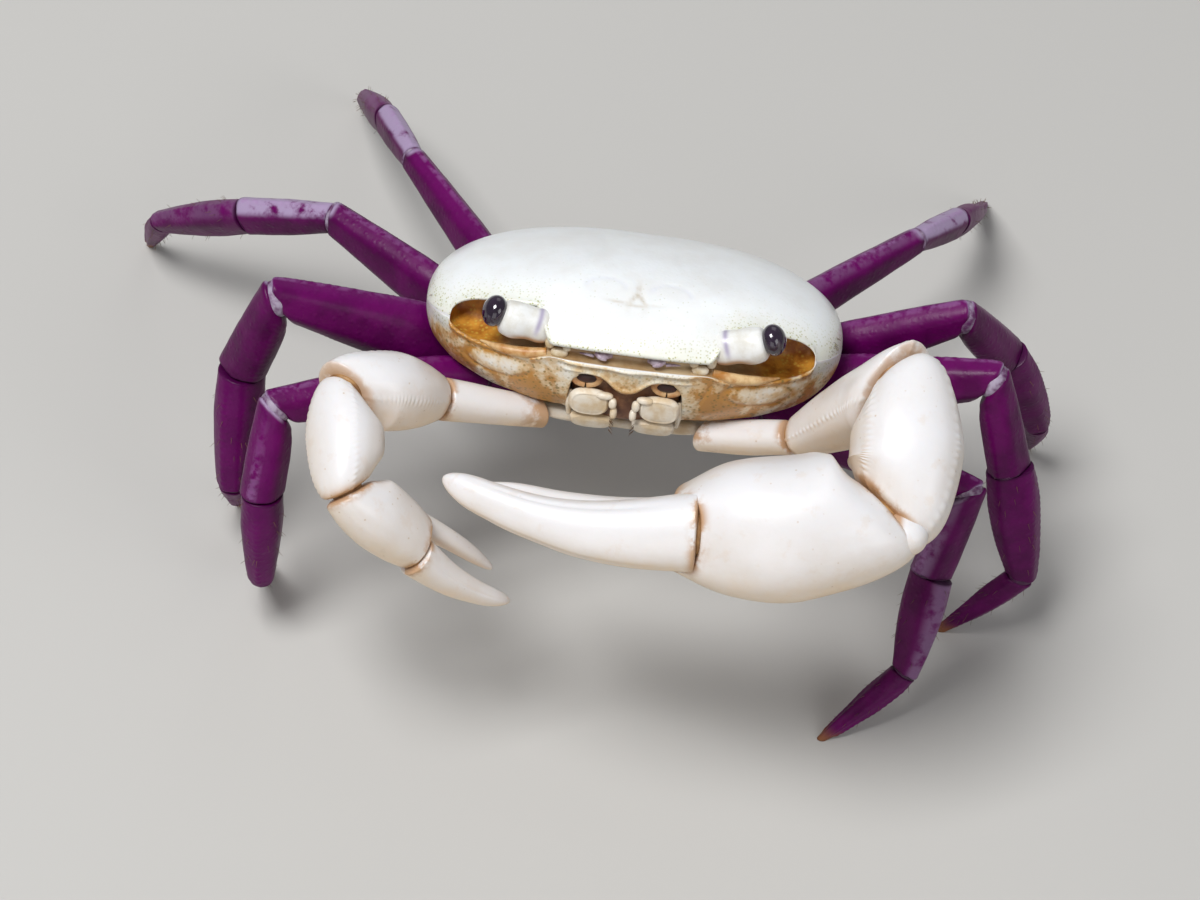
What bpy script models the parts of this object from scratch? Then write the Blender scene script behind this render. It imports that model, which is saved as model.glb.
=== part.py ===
"""White-and-purple crab, Ghatiana dvivarna, as a still, life-size model standing on the floor.

+X is the crab's left, -Y is the way it faces and +Z is up. The shell is lofted in the body's own
frame, in which the carapace lies level, and is then turned nose-up by BODY_PITCH. Each limb is a
chain of segments set by a length, a bearing and a rise, and each segment is a loft of oval rings
along a straight axis. Lengths are written in millimetres and made metres when a mesh is built.
"""
import math

import bmesh
import bpy
import numpy as np
from mathutils import Matrix, Vector

MM = 0.001

# Body, in millimetres in the body's own frame, with its origin on the widest line
HALF_WIDTH = 13.5
OUTLINE_POWER = 2.35
POLE = (0.0, -0.1)
BODY_PITCH = math.radians(28.3)
# Where the body's origin stands in the floor's frame, so that the whole crab is centred on it
BODY_PLACE = (2.75, -4.5, 20.0)
SHELL_COLUMNS = 34
ORBIT_INNER = 5.45
ORBIT_MIDDLE = 9.0
ORBIT_OUTER = 11.75
ORBIT_DEPTH = 2.3
ORBIT_POWER = 3.0
FRONT_HALF_WIDTH = 5.0
FRONT_RECESS = 0.9
MOUTH_HALF_WIDTH = 3.7
MOUTH_WALL_Y = -4.75
# The plate over the mouth ends in a broad tooth in its middle
MOUTH_TOP_Z = -0.95
TOOTH_DROP = 0.8
TOOTH_WIDTH = 0.95

# The midline profile of the shell as (y, z), from the hind margin over the back to the brow
BACK_LINE = [(10.7, -1.6), (10.35, 0.0), (9.3, 1.5), (7.3, 2.85), (4.6, 3.8), (1.6, 4.4),
             (-1.5, 4.45), (-4.2, 3.95), (-6.2, 2.95)]
# From the brow down the face to the lowest corner of the cheek
FACE_LINE = [(-7.3, 1.95), (-7.85, 1.05), (-7.75, 0.1), (-7.35, -0.8), (-6.9, -2.1),
             (-6.2, -3.45), (-5.2, -4.5)]
# Under the body, back to the hind margin
UNDER_LINE = [(-4.0, -4.6), (-2.6, -3.9), (-0.8, -3.6), (3.0, -3.6), (7.6, -3.5), (9.6, -2.9)]

# Underside parts
JOINT_GAP = 0.3
STERNUM_BOTTOM = -6.25
# The breastplate from front to back: y, half width, top and how far its floor rises
STERNUM = ((-4.6, 3.6, -5.1, 0.5), (-4.05, 4.85, -5.0, 0.25), (-3.0, 5.65, -4.95, 0.05),
           (-1.6, 6.05, -4.35, 0.0), (0.0, 6.15, -3.95, 0.0), (4.0, 6.15, -3.95, 0.0),
           (6.4, 5.9, -3.95, 0.05), (8.0, 5.2, -3.9, 0.3), (8.9, 3.9, -3.8, 0.8))
# How much of its side wall's height the breastplate's lower edge is bevelled
STERNUM_BEVEL = 0.25
# A leg leaves the breastplate halfway between this height and the start of its merus
ROOT_HEIGHT = -5.8
# The tail plate from front to back: y and half width
PLEON = ((-1.0, 0.45), (0.2, 1.0), (2.5, 1.5), (5.0, 2.2), (6.4, 2.6), (7.2, 2.3))
PLEON_THICKNESS = 0.6
# Each mouth plate from top to bottom: z, half width, y of its middle and half depth
MAXILLIPED_X = 1.95
MAXILLIPED_RING = 16
MAXILLIPED = ((-2.35, 1.25, -6.0, 0.6), (-2.6, 1.5, -6.05, 0.75), (-3.9, 1.5, -5.87, 0.8),
              (-4.1, 1.4, -5.8, 0.68), (-4.3, 1.5, -5.8, 0.75), (-5.3, 1.3, -5.5, 0.6))

# Walking legs: where the merus starts, in the body's frame, for the crab's left side
HIPS = {
    "leg2": (9.0, -1.4, -4.8),
    "leg3": (9.6, 1.6, -4.6),
    "leg4": (9.4, 5.0, -4.75),
    "leg5": (7.4, 8.0, -4.3),
}
# Lengths of merus, carpus, propodus and dactylus
LEG_LENGTHS = {
    "leg2": (14.2, 6.0, 7.2, 7.1),
    "leg3": (14.5, 6.7, 8.5, 7.4),
    "leg4": (13.5, 6.9, 8.4, 6.7),
    "leg5": (15.1, 5.8, 7.1, 6.5),
}
# The pose, in whole degrees: (bearing, rise) of each segment. A bearing is 0 straight out to the
# limb's own side and 90 straight ahead. The last rise is worked out, so that the tip meets the floor.
LEG_POSE = {
    "leg2_r": ((23, 5), (83, -60), (101, -77), -86),
    "leg3_r": ((8, 22), (30, -70), (90, -64), -94),
    "leg4_r": ((-33, 3), (-15, -26), (-22, -37), -66),
    "leg5_r": ((-54, -2), (-65, -23), (-69, -38), -81),
    "leg2_l": ((14, -5), (114, -51), (101, -56), 148),
    "leg3_l": ((1, 17), (49, -63), (57, -64), 167),
    "leg4_l": ((-7, 28), (-27, -57), (-10, -67), -93),
    "leg5_l": ((-44, -1), (-57, -30), (-70, -42), -79),
}
# How far the leg's crest leans back from upright, in degrees
LEG_LEAN = {"leg2": 25, "leg3": 40, "leg4": 15, "leg5": 10}
LEG_SIZE = {"leg2": 0.96, "leg3": 1.0, "leg4": 0.97, "leg5": 0.8}

# Claw arms: the start of the merus in the body's frame, then (length, bearing, rise) of the
# merus, carpus, palm and finger
CLAW_POSE = {
    "claw_r": ((-11.68, -7.2, -4.04), (8.2, 32, 33), (6.7, 100, -14), (6.5, 180, -46), (8.5, -176, -43)),
    "claw_l": ((10.88, -6.39, -3.97), (9.8, 7, 53), (8.5, 88, -19), (11.7, 172, -7), (16.2, -176, 0)),
}
# The way from the fixed finger to the moving one, in the body's frame
CLAW_UP = {"claw_r": (-0.28, -0.95, -0.18), "claw_l": (0.0, -0.97, 0.25)}
# At the palm's end, how far above its axis the moving finger starts and below it the fixed one, how
# far apart the tips are, how much shorter the fixed finger is and how far it is shifted sideways
CLAW_FINGERS = {"claw_r": (0.8, 1.1, 1.6, 1.75, 0.0), "claw_l": (1.6, 2.9, 2.4, 2.4, 0.5)}
# Where the arm leaves the breastplate, as (y, z)
CLAW_ROOT = {"claw_r": (-3.85, -5.6), "claw_l": (-3.85, -5.75)}

# Eyes: where the stalk starts and ends across the face, how far forward it lies, and the
# heights of its root and end, in the body's frame
EYE_ROOT = 6.3
EYE_REACH = 8.3
EYE_FORWARD = -6.55
EYE_HEIGHTS = {"r": (1.35, 2.0), "l": (1.35, 2.4)}
CORNEA_LENGTH = 1.2
EYESTALK = ((0.0, 0.85, 0.85, 0.85), (0.5, 1.0, 1.0, 1.0), (1.0, 0.9, 0.9, 0.9))
CORNEA = ((0.0, 0.85, 0.85, 0.85), (0.35, 1.0, 1.0, 0.95), (0.7, 0.85, 0.85, 0.75),
          (1.0, 0.25, 0.25, 0.2))

# Segment shapes: (part of the length, height above the axis, depth below it, half thickness)
LEG_BASE = ((0.0, 1.45, 1.35, 1.15), (0.5, 1.4, 1.3, 1.05), (1.0, 1.35, 1.3, 1.0))
LEG_MERUS = ((0.0, 1.3, 1.25, 0.95), (0.25, 2.0, 1.8, 1.2), (0.6, 1.7, 1.45, 1.15),
             (1.0, 1.05, 1.05, 0.9))
LEG_CARPUS = ((0.0, 1.0, 0.9, 0.85), (0.5, 1.5, 1.25, 1.15), (1.0, 1.35, 1.15, 1.0))
LEG_PROPODUS = ((0.0, 1.25, 1.1, 0.9), (0.35, 1.6, 1.5, 1.1), (0.7, 1.35, 1.25, 0.95),
                (1.0, 0.9, 0.8, 0.7))
LEG_DACTYLUS = ((0.0, 0.75, 0.7, 0.65), (0.3, 0.85, 0.75, 0.65), (0.7, 0.6, 0.5, 0.45),
                (1.0, 0.3, 0.27, 0.25))
LEG_SHAPES = {"base": LEG_BASE, "merus": LEG_MERUS, "carpus": LEG_CARPUS, "propodus": LEG_PROPODUS,
              "dactylus": LEG_DACTYLUS}

SMALL_BASE = ((0.0, 0.9, 0.95, 0.95), (0.5, 1.05, 1.2, 1.15), (1.0, 1.4, 1.4, 1.3))
SMALL_MERUS = ((0.0, 1.45, 1.35, 1.3), (0.25, 2.3, 1.75, 2.0), (0.5, 2.8, 2.0, 2.35), (0.8, 2.5, 2.0, 2.2),
               (1.0, 1.6, 1.6, 1.6))
SMALL_CARPUS = ((0.0, 1.0, 1.0, 1.0), (0.12, 1.6, 1.6, 1.6), (0.3, 2.15, 2.15, 2.2),
                (0.55, 2.3, 2.3, 2.35), (0.8, 2.0, 2.0, 2.0), (1.0, 1.3, 1.3, 1.25))
SMALL_PALM = ((0.0, 1.4, 1.4, 1.35), (0.3, 2.2, 2.2, 1.85), (0.7, 2.2, 2.2, 1.8), (1.0, 1.8, 1.9, 1.5))
SMALL_FINGER = ((0.0, 1.35, 1.2, 1.35), (0.3, 1.1, 0.95, 1.1), (0.6, 0.85, 0.7, 0.85),
                (0.88, 0.55, 0.45, 0.5), (1.0, 0.22, 0.2, 0.2))
SMALL_POLLEX = ((0.0, 0.9, 0.9, 0.85), (0.4, 0.7, 0.7, 0.65), (0.85, 0.42, 0.42, 0.4),
                (1.0, 0.18, 0.18, 0.18))

BIG_BASE = ((0.0, 0.9, 1.0, 1.0), (0.5, 0.85, 1.3, 1.1), (1.0, 0.95, 1.1, 1.1))
BIG_MERUS = ((0.0, 1.0, 1.15, 1.2), (0.4, 1.5, 2.2, 1.7), (0.7, 1.9, 2.5, 2.0), (0.92, 2.2, 2.4, 2.2),
             (1.0, 2.0, 2.1, 2.1))
BIG_CARPUS = ((0.0, 1.4, 1.4, 1.4), (0.12, 2.4, 2.2, 2.4), (0.3, 3.3, 3.1, 3.3), (0.55, 3.5, 3.3, 3.55),
              (0.8, 3.0, 2.9, 3.2), (1.0, 2.0, 2.0, 2.1))
BIG_PALM = ((0.0, 2.0, 2.0, 2.0), (0.15, 3.2, 3.4, 3.1), (0.36, 4.2, 4.6, 4.2), (0.6, 4.6, 5.1, 4.5),
            (0.8, 4.3, 5.0, 4.35), (1.0, 3.7, 4.4, 3.5))
BIG_FINGER = ((0.0, 2.1, 2.0, 2.85), (0.2, 1.95, 1.7, 2.25), (0.4, 1.7, 1.4, 1.85), (0.58, 1.45, 1.15, 1.5),
              (0.78, 1.1, 0.95, 1.2), (0.92, 0.8, 0.7, 0.9), (1.0, 0.3, 0.3, 0.35))
BIG_POLLEX = ((0.0, 1.8, 2.0, 2.0), (0.3, 1.4, 1.5, 1.5), (0.65, 1.0, 1.0, 1.1), (0.9, 0.6, 0.6, 0.7),
              (1.0, 0.22, 0.22, 0.25))
SMALL_CLAW = {"base": SMALL_BASE, "merus": SMALL_MERUS, "carpus": SMALL_CARPUS, "palm": SMALL_PALM,
              "finger": SMALL_FINGER, "pollex": SMALL_POLLEX}
BIG_CLAW = {"base": BIG_BASE, "merus": BIG_MERUS, "carpus": BIG_CARPUS, "palm": BIG_PALM,
            "finger": BIG_FINGER, "pollex": BIG_POLLEX}
# How far a segment's middle bends off its straight axis, upwards and sideways
SMALL_BENDS = {"finger": (0.35, 0.3), "pollex": (-0.3, 0.0)}
BIG_BENDS = {"carpus": (0.0, -0.9), "palm": (0.0, -0.5), "finger": (0.5, -1.2), "pollex": (-0.7, -0.9)}

# Points round one ring of each kind of piece
LEG_RING = 10
CLAW_RING = 16
EYE_RING = 12
# Where along a finger its rings stand, as parts of its length
FINGER_PARTS = (0.0, 0.12, 0.3, 0.5, 0.7, 0.85, 0.95, 1.0)
FLOOR = np.array([0.0, 0.0, 1.0])
# The steepest slopes of a cut at a joint, and of the flat on which a tip stands
STEEPEST_CUT = 1.1
FLOOR_CUT = 4.0
# How far behind the palm's end the fixed finger's root is sunk into it
POLLEX_SUNK = 1.5
# Colours, in linear light
PURPLE = (0.105, 0.008, 0.120, 1.0)
IVORY = (0.83, 0.74, 0.62, 1.0)
WHITE = (0.86, 0.86, 0.82, 1.0)
CREAM = (0.75, 0.68, 0.55, 1.0)
BLACK = (0.01, 0.006, 0.014, 1.0)


def clear_scene():
    """Remove every object and collection that the file opened with."""
    for item in list(bpy.data.objects):
        bpy.data.objects.remove(item, do_unlink=True)
    for group in list(bpy.data.collections):
        bpy.data.collections.remove(group)


def make_material(name, colour, roughness):
    """Return a Principled material of one colour."""
    material = bpy.data.materials.new(name)
    material.use_nodes = True
    shader = material.node_tree.nodes["Principled BSDF"]
    shader.inputs["Base Color"].default_value = colour
    shader.inputs["Roughness"].default_value = roughness
    shader.inputs["Metallic"].default_value = 0.0
    material.diffuse_color = colour
    return material


def smooth(edge0, edge1, value):
    """Ease from 0 at edge0 to 1 at edge1."""
    t = np.clip((value - edge0) / (edge1 - edge0), 0.0, 1.0)
    return t * t * (3.0 - 2.0 * t)


def body_to_floor(point):
    """Turn a point of the body's frame nose-up and lift it to its height over the floor."""
    x, y, z = point
    c, s = math.cos(BODY_PITCH), math.sin(BODY_PITCH)
    return np.array(BODY_PLACE) + np.array([x, y * c + z * s, z * c - y * s])


def body_matrix():
    """The same turn and lift as an object's matrix, in metres."""
    return Matrix.Translation(Vector(BODY_PLACE) * MM) @ Matrix.Rotation(-BODY_PITCH, 4, "X")


def add_grid_solid(name, rings, material, collection, matrix=None):
    """Join closed rings of equal count into one closed solid, with a flat face on each end.

    rings is an array (rings, points, 3) in millimetres. Where a ring's points are all one point,
    the faces that would shrink to nothing are merged away, and the solid ends in that point.
    """
    rings = np.asarray(rings, dtype=float) * MM
    count, size = rings.shape[:2]
    mesh = bpy.data.meshes.new(name)
    build = bmesh.new()
    verts = [[build.verts.new(point) for point in ring] for ring in rings]
    for low, high in zip(verts[:-1], verts[1:]):
        for i in range(size):
            j = (i + 1) % size
            build.faces.new((low[i], low[j], high[j], high[i]))
    build.faces.new(list(reversed(verts[0])))
    build.faces.new(verts[-1])
    bmesh.ops.remove_doubles(build, verts=build.verts, dist=0.00001)
    bmesh.ops.recalc_face_normals(build, faces=build.faces)
    bmesh.ops.triangulate(build, faces=build.faces)
    if build.calc_volume(signed=True) < 0:
        bmesh.ops.reverse_faces(build, faces=build.faces)
    build.to_mesh(mesh)
    build.free()
    mesh.materials.append(material)
    item = bpy.data.objects.new(name, mesh)
    if matrix is not None:
        item.matrix_world = matrix
    collection.objects.link(item)
    return item


def along(stations, part):
    """Heights, depths and half thicknesses of a segment at parts of its length, eased."""
    table = np.array(stations)
    part = np.asarray(part, dtype=float)
    out = []
    for column in (1, 2, 3):
        slopes = np.gradient(table[:, column], table[:, 0])
        index = np.clip(np.searchsorted(table[:, 0], part, side="right") - 1, 0, len(table) - 2)
        x0, x1 = table[index, 0], table[index + 1, 0]
        t = (part - x0) / (x1 - x0)
        y0, y1 = table[index, column], table[index + 1, column]
        m0, m1 = slopes[index] * (x1 - x0), slopes[index + 1] * (x1 - x0)
        out.append((2 * t**3 - 3 * t**2 + 1) * y0 + (t**3 - 2 * t**2 + t) * m0
                   + (3 * t**2 - 2 * t**3) * y1 + (t**3 - t**2) * m1)
    return out


def segment_axes(start, end, up):
    """The unit axis of a segment, and the height and thickness directions square to it."""
    axis = (end - start) / np.linalg.norm(end - start)
    height = up - axis * float(up @ axis)
    height = height / np.linalg.norm(height)
    return axis, height, np.cross(axis, height)


def plane_slopes(axis, normal, height, side, limit=STEEPEST_CUT):
    """Slopes of a cutting plane in height and side, for a segment that runs along axis."""
    if normal is None:
        return 0.0, 0.0
    lead = float(axis @ normal)
    slopes = -float(height @ normal) / lead, -float(side @ normal) / lead
    return tuple(max(-limit, min(limit, slope)) for slope in slopes)


def segment_rings(start, end, up, stations, ring, scale=1.0, planes=(None, None), gaps=(0.0, 0.0),
                  bend=(0.0, 0.0), parts=(0.0, 0.12, 0.3, 0.5, 0.7, 0.88, 1.0), power=2.3):
    """Oval rings of one limb segment, from the plane that it starts on to the plane that it ends on.

    planes are the normals of the cuts at the two ends, and gaps how far the segment stops short.
    """
    axis, height, side = segment_axes(start, end, up)
    length = float(np.linalg.norm(end - start))
    limit = FLOOR_CUT if planes[1] is FLOOR else STEEPEST_CUT
    first = plane_slopes(axis, planes[0], height, side)
    last = plane_slopes(axis, planes[1], height, side, limit)
    parts = np.array(parts)
    above, below, half = (value * scale for value in along(stations, parts))
    angle = np.arange(ring) / ring * 2 * math.pi
    cosine, sine = np.cos(angle), np.sin(angle)
    reach_h = np.sign(cosine) * np.abs(cosine) ** (2 / power)
    reach_s = np.sign(sine) * np.abs(sine) ** (2 / power)
    h = np.where(reach_h > 0, above[:, None], below[:, None]) * reach_h
    s = half[:, None] * reach_s
    distance = gaps[0] + parts * (length - gaps[0] - gaps[1])
    tilt_in = (1 - smooth(0.0, 0.45, parts))[:, None]
    tilt_out = smooth(0.55, 1.0, parts)[:, None]
    lean = tilt_in * (first[0] * h + first[1] * s) + tilt_out * (last[0] * h + last[1] * s)
    wave = np.sin(math.pi * parts)[:, None]
    return (start + (distance[:, None] + lean)[..., None] * axis
            + (h + bend[0] * wave)[..., None] * height + (s + bend[1] * wave)[..., None] * side)


def direction(sign, bearing, rise):
    """A unit vector from a bearing and a rise in degrees, for a limb on one side."""
    b, r = math.radians(bearing), math.radians(rise)
    return np.array([sign * math.cos(r) * math.cos(b), -math.cos(r) * math.sin(b), math.sin(r)])


def wall(sign, y, z):
    """A point JOINT_GAP off the breastplate's side, and the way the side faces there."""
    table = np.array(STERNUM)
    half = np.interp(y, table[:, 0], table[:, 1])
    ahead = np.interp(y + 0.01, table[:, 0], table[:, 1])
    normal = np.array([1.0, (half - ahead) / 0.01, 0.0])
    normal = normal / np.linalg.norm(normal)
    x, out_y = np.array([half, y]) + JOINT_GAP * normal[:2]
    facing = body_to_floor((sign * normal[0], normal[1], 0.0)) - np.array(BODY_PLACE)
    return body_to_floor((sign * x, out_y, z)), facing


def leg_joints(name):
    """The six joint points of a walking leg, from the breastplate to the floor, and its first cut."""
    sign = 1 if name.endswith("_l") else -1
    pair = name[:4]
    x, y, z = HIPS[pair]
    root, facing = wall(sign, 0.93 * y, 0.5 * (z + ROOT_HEIGHT))
    points = [root, body_to_floor((sign * x, y, z))]
    pose = LEG_POSE[name]
    for length, (bearing, rise) in zip(LEG_LENGTHS[pair][:3], pose[:3]):
        points.append(points[-1] + length * direction(sign, bearing, rise))
    drop = -math.degrees(math.asin(min(0.999, points[-1][2] / LEG_LENGTHS[pair][3])))
    points.append(points[-1] + LEG_LENGTHS[pair][3] * direction(sign, pose[3], drop))
    return points, facing


def claw_joints(name):
    """The six joint points of a claw arm, from the breastplate to the finger's tip, and its first cut."""
    sign = 1 if name.endswith("_l") else -1
    start, *steps = CLAW_POSE[name]
    root, facing = wall(sign, *CLAW_ROOT[name])
    points = [root, body_to_floor(start)]
    for length, bearing, rise in steps:
        points.append(points[-1] + length * direction(sign, bearing, rise))
    return points, facing


def limb_cuts(axes, first, last):
    """The cuts at the ends of each segment, halfway between two axes at each joint."""
    middles = [a + b for a, b in zip(axes[:-1], axes[1:])]
    normals = [first] + [m / np.linalg.norm(m) for m in middles] + [last]
    short = [0.0] + [JOINT_GAP / 2] * len(middles) + [0.0]
    return list(zip(normals[:-1], normals[1:])), list(zip(short[:-1], short[1:]))


def spline(points, count):
    """A smooth run of count points through the given ones, spaced evenly by number."""
    points = np.array(points, dtype=float)
    padded = np.vstack([2 * points[0] - points[1], points, 2 * points[-1] - points[-2]])
    t = np.linspace(0, len(points) - 1, count)
    i = np.minimum(t.astype(int), len(points) - 2)
    f = (t - i)[:, None]
    p0, p1, p2, p3 = (padded[i + k] for k in range(4))
    return 0.5 * (2 * p1 + (p2 - p0) * f + (2 * p0 - 5 * p1 + 4 * p2 - p3) * f**2
                  + (3 * p1 - p0 - 3 * p2 + p3) * f**3)


def shell_slice(x):
    """One closed slice of the shell at x, as (y, z) points: back, brow, orbit, face, underside."""
    a = abs(x)
    grow = max(1.0 - (a / HALF_WIDTH) ** OUTLINE_POWER, 0.0) ** (1.0 / OUTLINE_POWER)
    brow_drop = 1 - smooth(FRONT_HALF_WIDTH - 0.1, FRONT_HALF_WIDTH + 1.3, a)
    whole = spline(BACK_LINE + FACE_LINE, 400)
    face_start = len(whole) // 2
    heights = -whole[face_start:, 1]
    number = np.arange(len(whole), dtype=float)

    def at(place):
        """The profile's points at fractional places along it."""
        return np.column_stack([np.interp(place, number, column) for column in whole.T])

    # The upper rim lies at the front's edge in the middle and up over the orbit at the sides
    t = min(max((a - ORBIT_MIDDLE) / (ORBIT_OUTER - ORBIT_MIDDLE), 0.0), 1.0)
    oval = max((1 - t**ORBIT_POWER) ** (1 / ORBIT_POWER), 0.08)
    upper_z = 1.0 * brow_drop + (1.0 + 1.9 * oval) * (1 - brow_drop)
    lower_z = -0.1 * brow_drop + (1.0 - 1.6 * oval) * (1 - brow_drop)
    mouth_z = MOUTH_TOP_Z - TOOTH_DROP * math.exp(-((x / TOOTH_WIDTH) ** 2))
    upper, lower, mouth_top = (float(np.interp(-z, heights, number[face_start:]))
                               for z in (upper_z, lower_z, mouth_z))
    back = at(np.linspace(0, upper, 22))
    face = at(np.concatenate([np.linspace(lower, mouth_top, 4),
                              np.linspace(mouth_top + 3, len(whole) - 1, 6)]))
    depth = ORBIT_DEPTH * math.sqrt(smooth(ORBIT_INNER - 0.3, ORBIT_INNER + 0.9, a) * (oval - 0.08))
    depth = max(depth, FRONT_RECESS * float(brow_drop))
    steps = np.linspace(0, 1, 6)[1:-1]
    inner = back[-1] + (face[0] - back[-1]) * steps[:, None]
    inner[:, 0] += depth * np.array([0.9, 1.0, 1.0, 0.75]) / max(grow, 0.2)
    if a < MOUTH_HALF_WIDTH:
        face[4:, 0] = np.maximum(face[4:, 0], MOUTH_WALL_Y)
    under = spline(UNDER_LINE, 10)
    if a < MOUTH_HALF_WIDTH:
        under[:, 0] = np.maximum(under[:, 0], MOUTH_WALL_Y)
    points = (np.vstack([back, inner, face, under]) - np.array(POLE)) * grow
    # Towards the sides the hind part of the floor rises to meet the legs
    rear = smooth(-4.0, -1.0, under[:, 0])
    lifted = under[:, 1] * max(1 - (a / HALF_WIDTH) ** 2, 0.0) ** 0.8
    floor = points[-len(under):, 1]
    points[-len(under):, 1] = (1 - rear) * floor + rear * np.maximum(floor, lifted)
    return points + np.array(POLE)


def shell_columns():
    """Places across the shell, closer together at the tooth and the rims of the orbits and mouth."""
    edge = [0.0, 0.5, 1.0, 1.6, MOUTH_HALF_WIDTH - 0.02, MOUTH_HALF_WIDTH + 0.02, FRONT_HALF_WIDTH - 0.1,
            5.4, 5.8, 6.3, 10.6, 11.2, 11.55, ORBIT_OUTER]
    even = HALF_WIDTH * np.sin(np.linspace(0, math.pi / 2, SHELL_COLUMNS // 2))
    keep = [value for value in even if min(abs(value - e) for e in edge) > 0.28]
    half = sorted(keep + edge)
    return [-value for value in reversed(half[1:])] + half


def build_shell(material, collection):
    """The carapace with its orbits, face, cheeks and underside."""
    rings = []
    for x in shell_columns():
        outline = shell_slice(x)
        rings.append(np.column_stack([np.full(len(outline), x), outline]))
    return add_grid_solid("carapace", rings, material, collection, body_matrix())


def build_sternum(material, collection):
    """The breastplate between the legs, upright at its sides and bevelled below."""
    rings = []
    for y, half, top, rise in STERNUM:
        low = STERNUM_BOTTOM + rise
        bevel = STERNUM_BEVEL * (top - low)
        ring = [(half, top), (half, low + bevel), (half * 0.8, low), (0.0, low), (-half * 0.8, low),
                (-half, low + bevel), (-half, top)]
        rings.append([(px, y, pz) for px, pz in ring])
    return add_grid_solid("sternum", rings, material, collection, body_matrix())


def build_pleon(material, collection):
    """The narrow tail plate of a male, folded under the sternum."""
    rings = []
    top = STERNUM_BOTTOM - JOINT_GAP
    low = top - PLEON_THICKNESS
    for y, half in PLEON:
        ring = [(half, top), (half * 0.8, low + 0.15), (0.0, low), (-half * 0.8, low + 0.15), (-half, top)]
        rings.append([(px, y, pz) for px, pz in ring])
    return add_grid_solid("pleon", rings, material, collection, body_matrix())


def build_maxilliped(side, sign, material, collection):
    """One of the two plates that close the mouth, with the groove across it between its two parts."""
    rings = []
    turn = np.linspace(0, 2 * math.pi, MAXILLIPED_RING, endpoint=False)
    square_cos = np.sign(np.cos(turn)) * np.sqrt(np.abs(np.cos(turn)))
    square_sin = np.sign(np.sin(turn)) * np.sqrt(np.abs(np.sin(turn)))
    for z, half_width, middle_y, half_depth in MAXILLIPED:
        ring = np.column_stack([sign * MAXILLIPED_X + half_width * square_cos,
                                middle_y + half_depth * square_sin, np.full(MAXILLIPED_RING, z)])
        rings.append(ring)
    return add_grid_solid("maxilliped_" + side, rings, material, collection, body_matrix())


def build_eye(side, sign, stalk_material, cornea_material, collection):
    """An eyestalk that lies in its orbit, and the dark eye on its end."""
    root_z, tip_z = EYE_HEIGHTS[side]
    start = np.array([sign * EYE_ROOT, EYE_FORWARD, root_z])
    end = np.array([sign * EYE_REACH, EYE_FORWARD, tip_z])
    up = np.array([0.0, 0.0, 1.0])
    rings = segment_rings(start, end, up, EYESTALK, EYE_RING, parts=(0.0, 0.25, 0.5, 0.75, 1.0))
    stalk = add_grid_solid("eyestalk_" + side, rings, stalk_material, collection, body_matrix())
    axis = (end - start) / np.linalg.norm(end - start)
    start = end + axis * JOINT_GAP
    end = start + axis * CORNEA_LENGTH
    rings = segment_rings(start, end, up, CORNEA, EYE_RING, parts=(0.0, 0.2, 0.45, 0.7, 0.9, 1.0))
    eye = add_grid_solid("cornea_" + side, rings, cornea_material, collection, body_matrix())
    return stalk, eye


def build_leg(name, material, collection):
    """The five segments of a walking leg, each a node of its own."""
    pair = name[:4]
    joints, facing = leg_joints(name)
    axes = [(b - a) / np.linalg.norm(b - a) for a, b in zip(joints[:-1], joints[1:])]
    cuts, gaps = limb_cuts(axes, facing, FLOOR)
    lean = math.radians(LEG_LEAN[pair])
    up = np.array([0.0, math.sin(lean), math.cos(lean)])
    for i, (part, shape) in enumerate(LEG_SHAPES.items()):
        if i >= 2:
            # The leg bends in one plane, so each height direction leans away from the bend
            outward = axes[i] - axes[i + 1] if i < 4 else axes[i - 1] - axes[i]
            up = outward + 0.4 * up
        rings = segment_rings(joints[i], joints[i + 1], up, shape, LEG_RING, LEG_SIZE[pair],
                              cuts[i], gaps[i])
        up = segment_axes(joints[i], joints[i + 1], up)[1]
        add_grid_solid(f"{name}_{part}", rings, material, collection)


def fuse(name, pieces, material, collection):
    """Join closed pieces into one closed solid with a single Boolean union."""
    group = bpy.data.collections.new(name + "_pieces")
    first, *rest = pieces
    for piece in rest:
        collection.objects.unlink(piece)
        group.objects.link(piece)
    join = first.modifiers.new("join", "BOOLEAN")
    join.operation = "UNION"
    join.operand_type = "COLLECTION"
    join.collection = group
    join.solver = "MANIFOLD"
    bpy.context.view_layer.update()
    graph = bpy.context.evaluated_depsgraph_get()
    mesh = bpy.data.meshes.new_from_object(first.evaluated_get(graph))
    first.modifiers.remove(join)
    first.data = mesh
    for piece in rest:
        bpy.data.objects.remove(piece, do_unlink=True)
    bpy.data.collections.remove(group)
    mesh.materials.clear()
    mesh.materials.append(material)
    first.name = name
    return first


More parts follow.
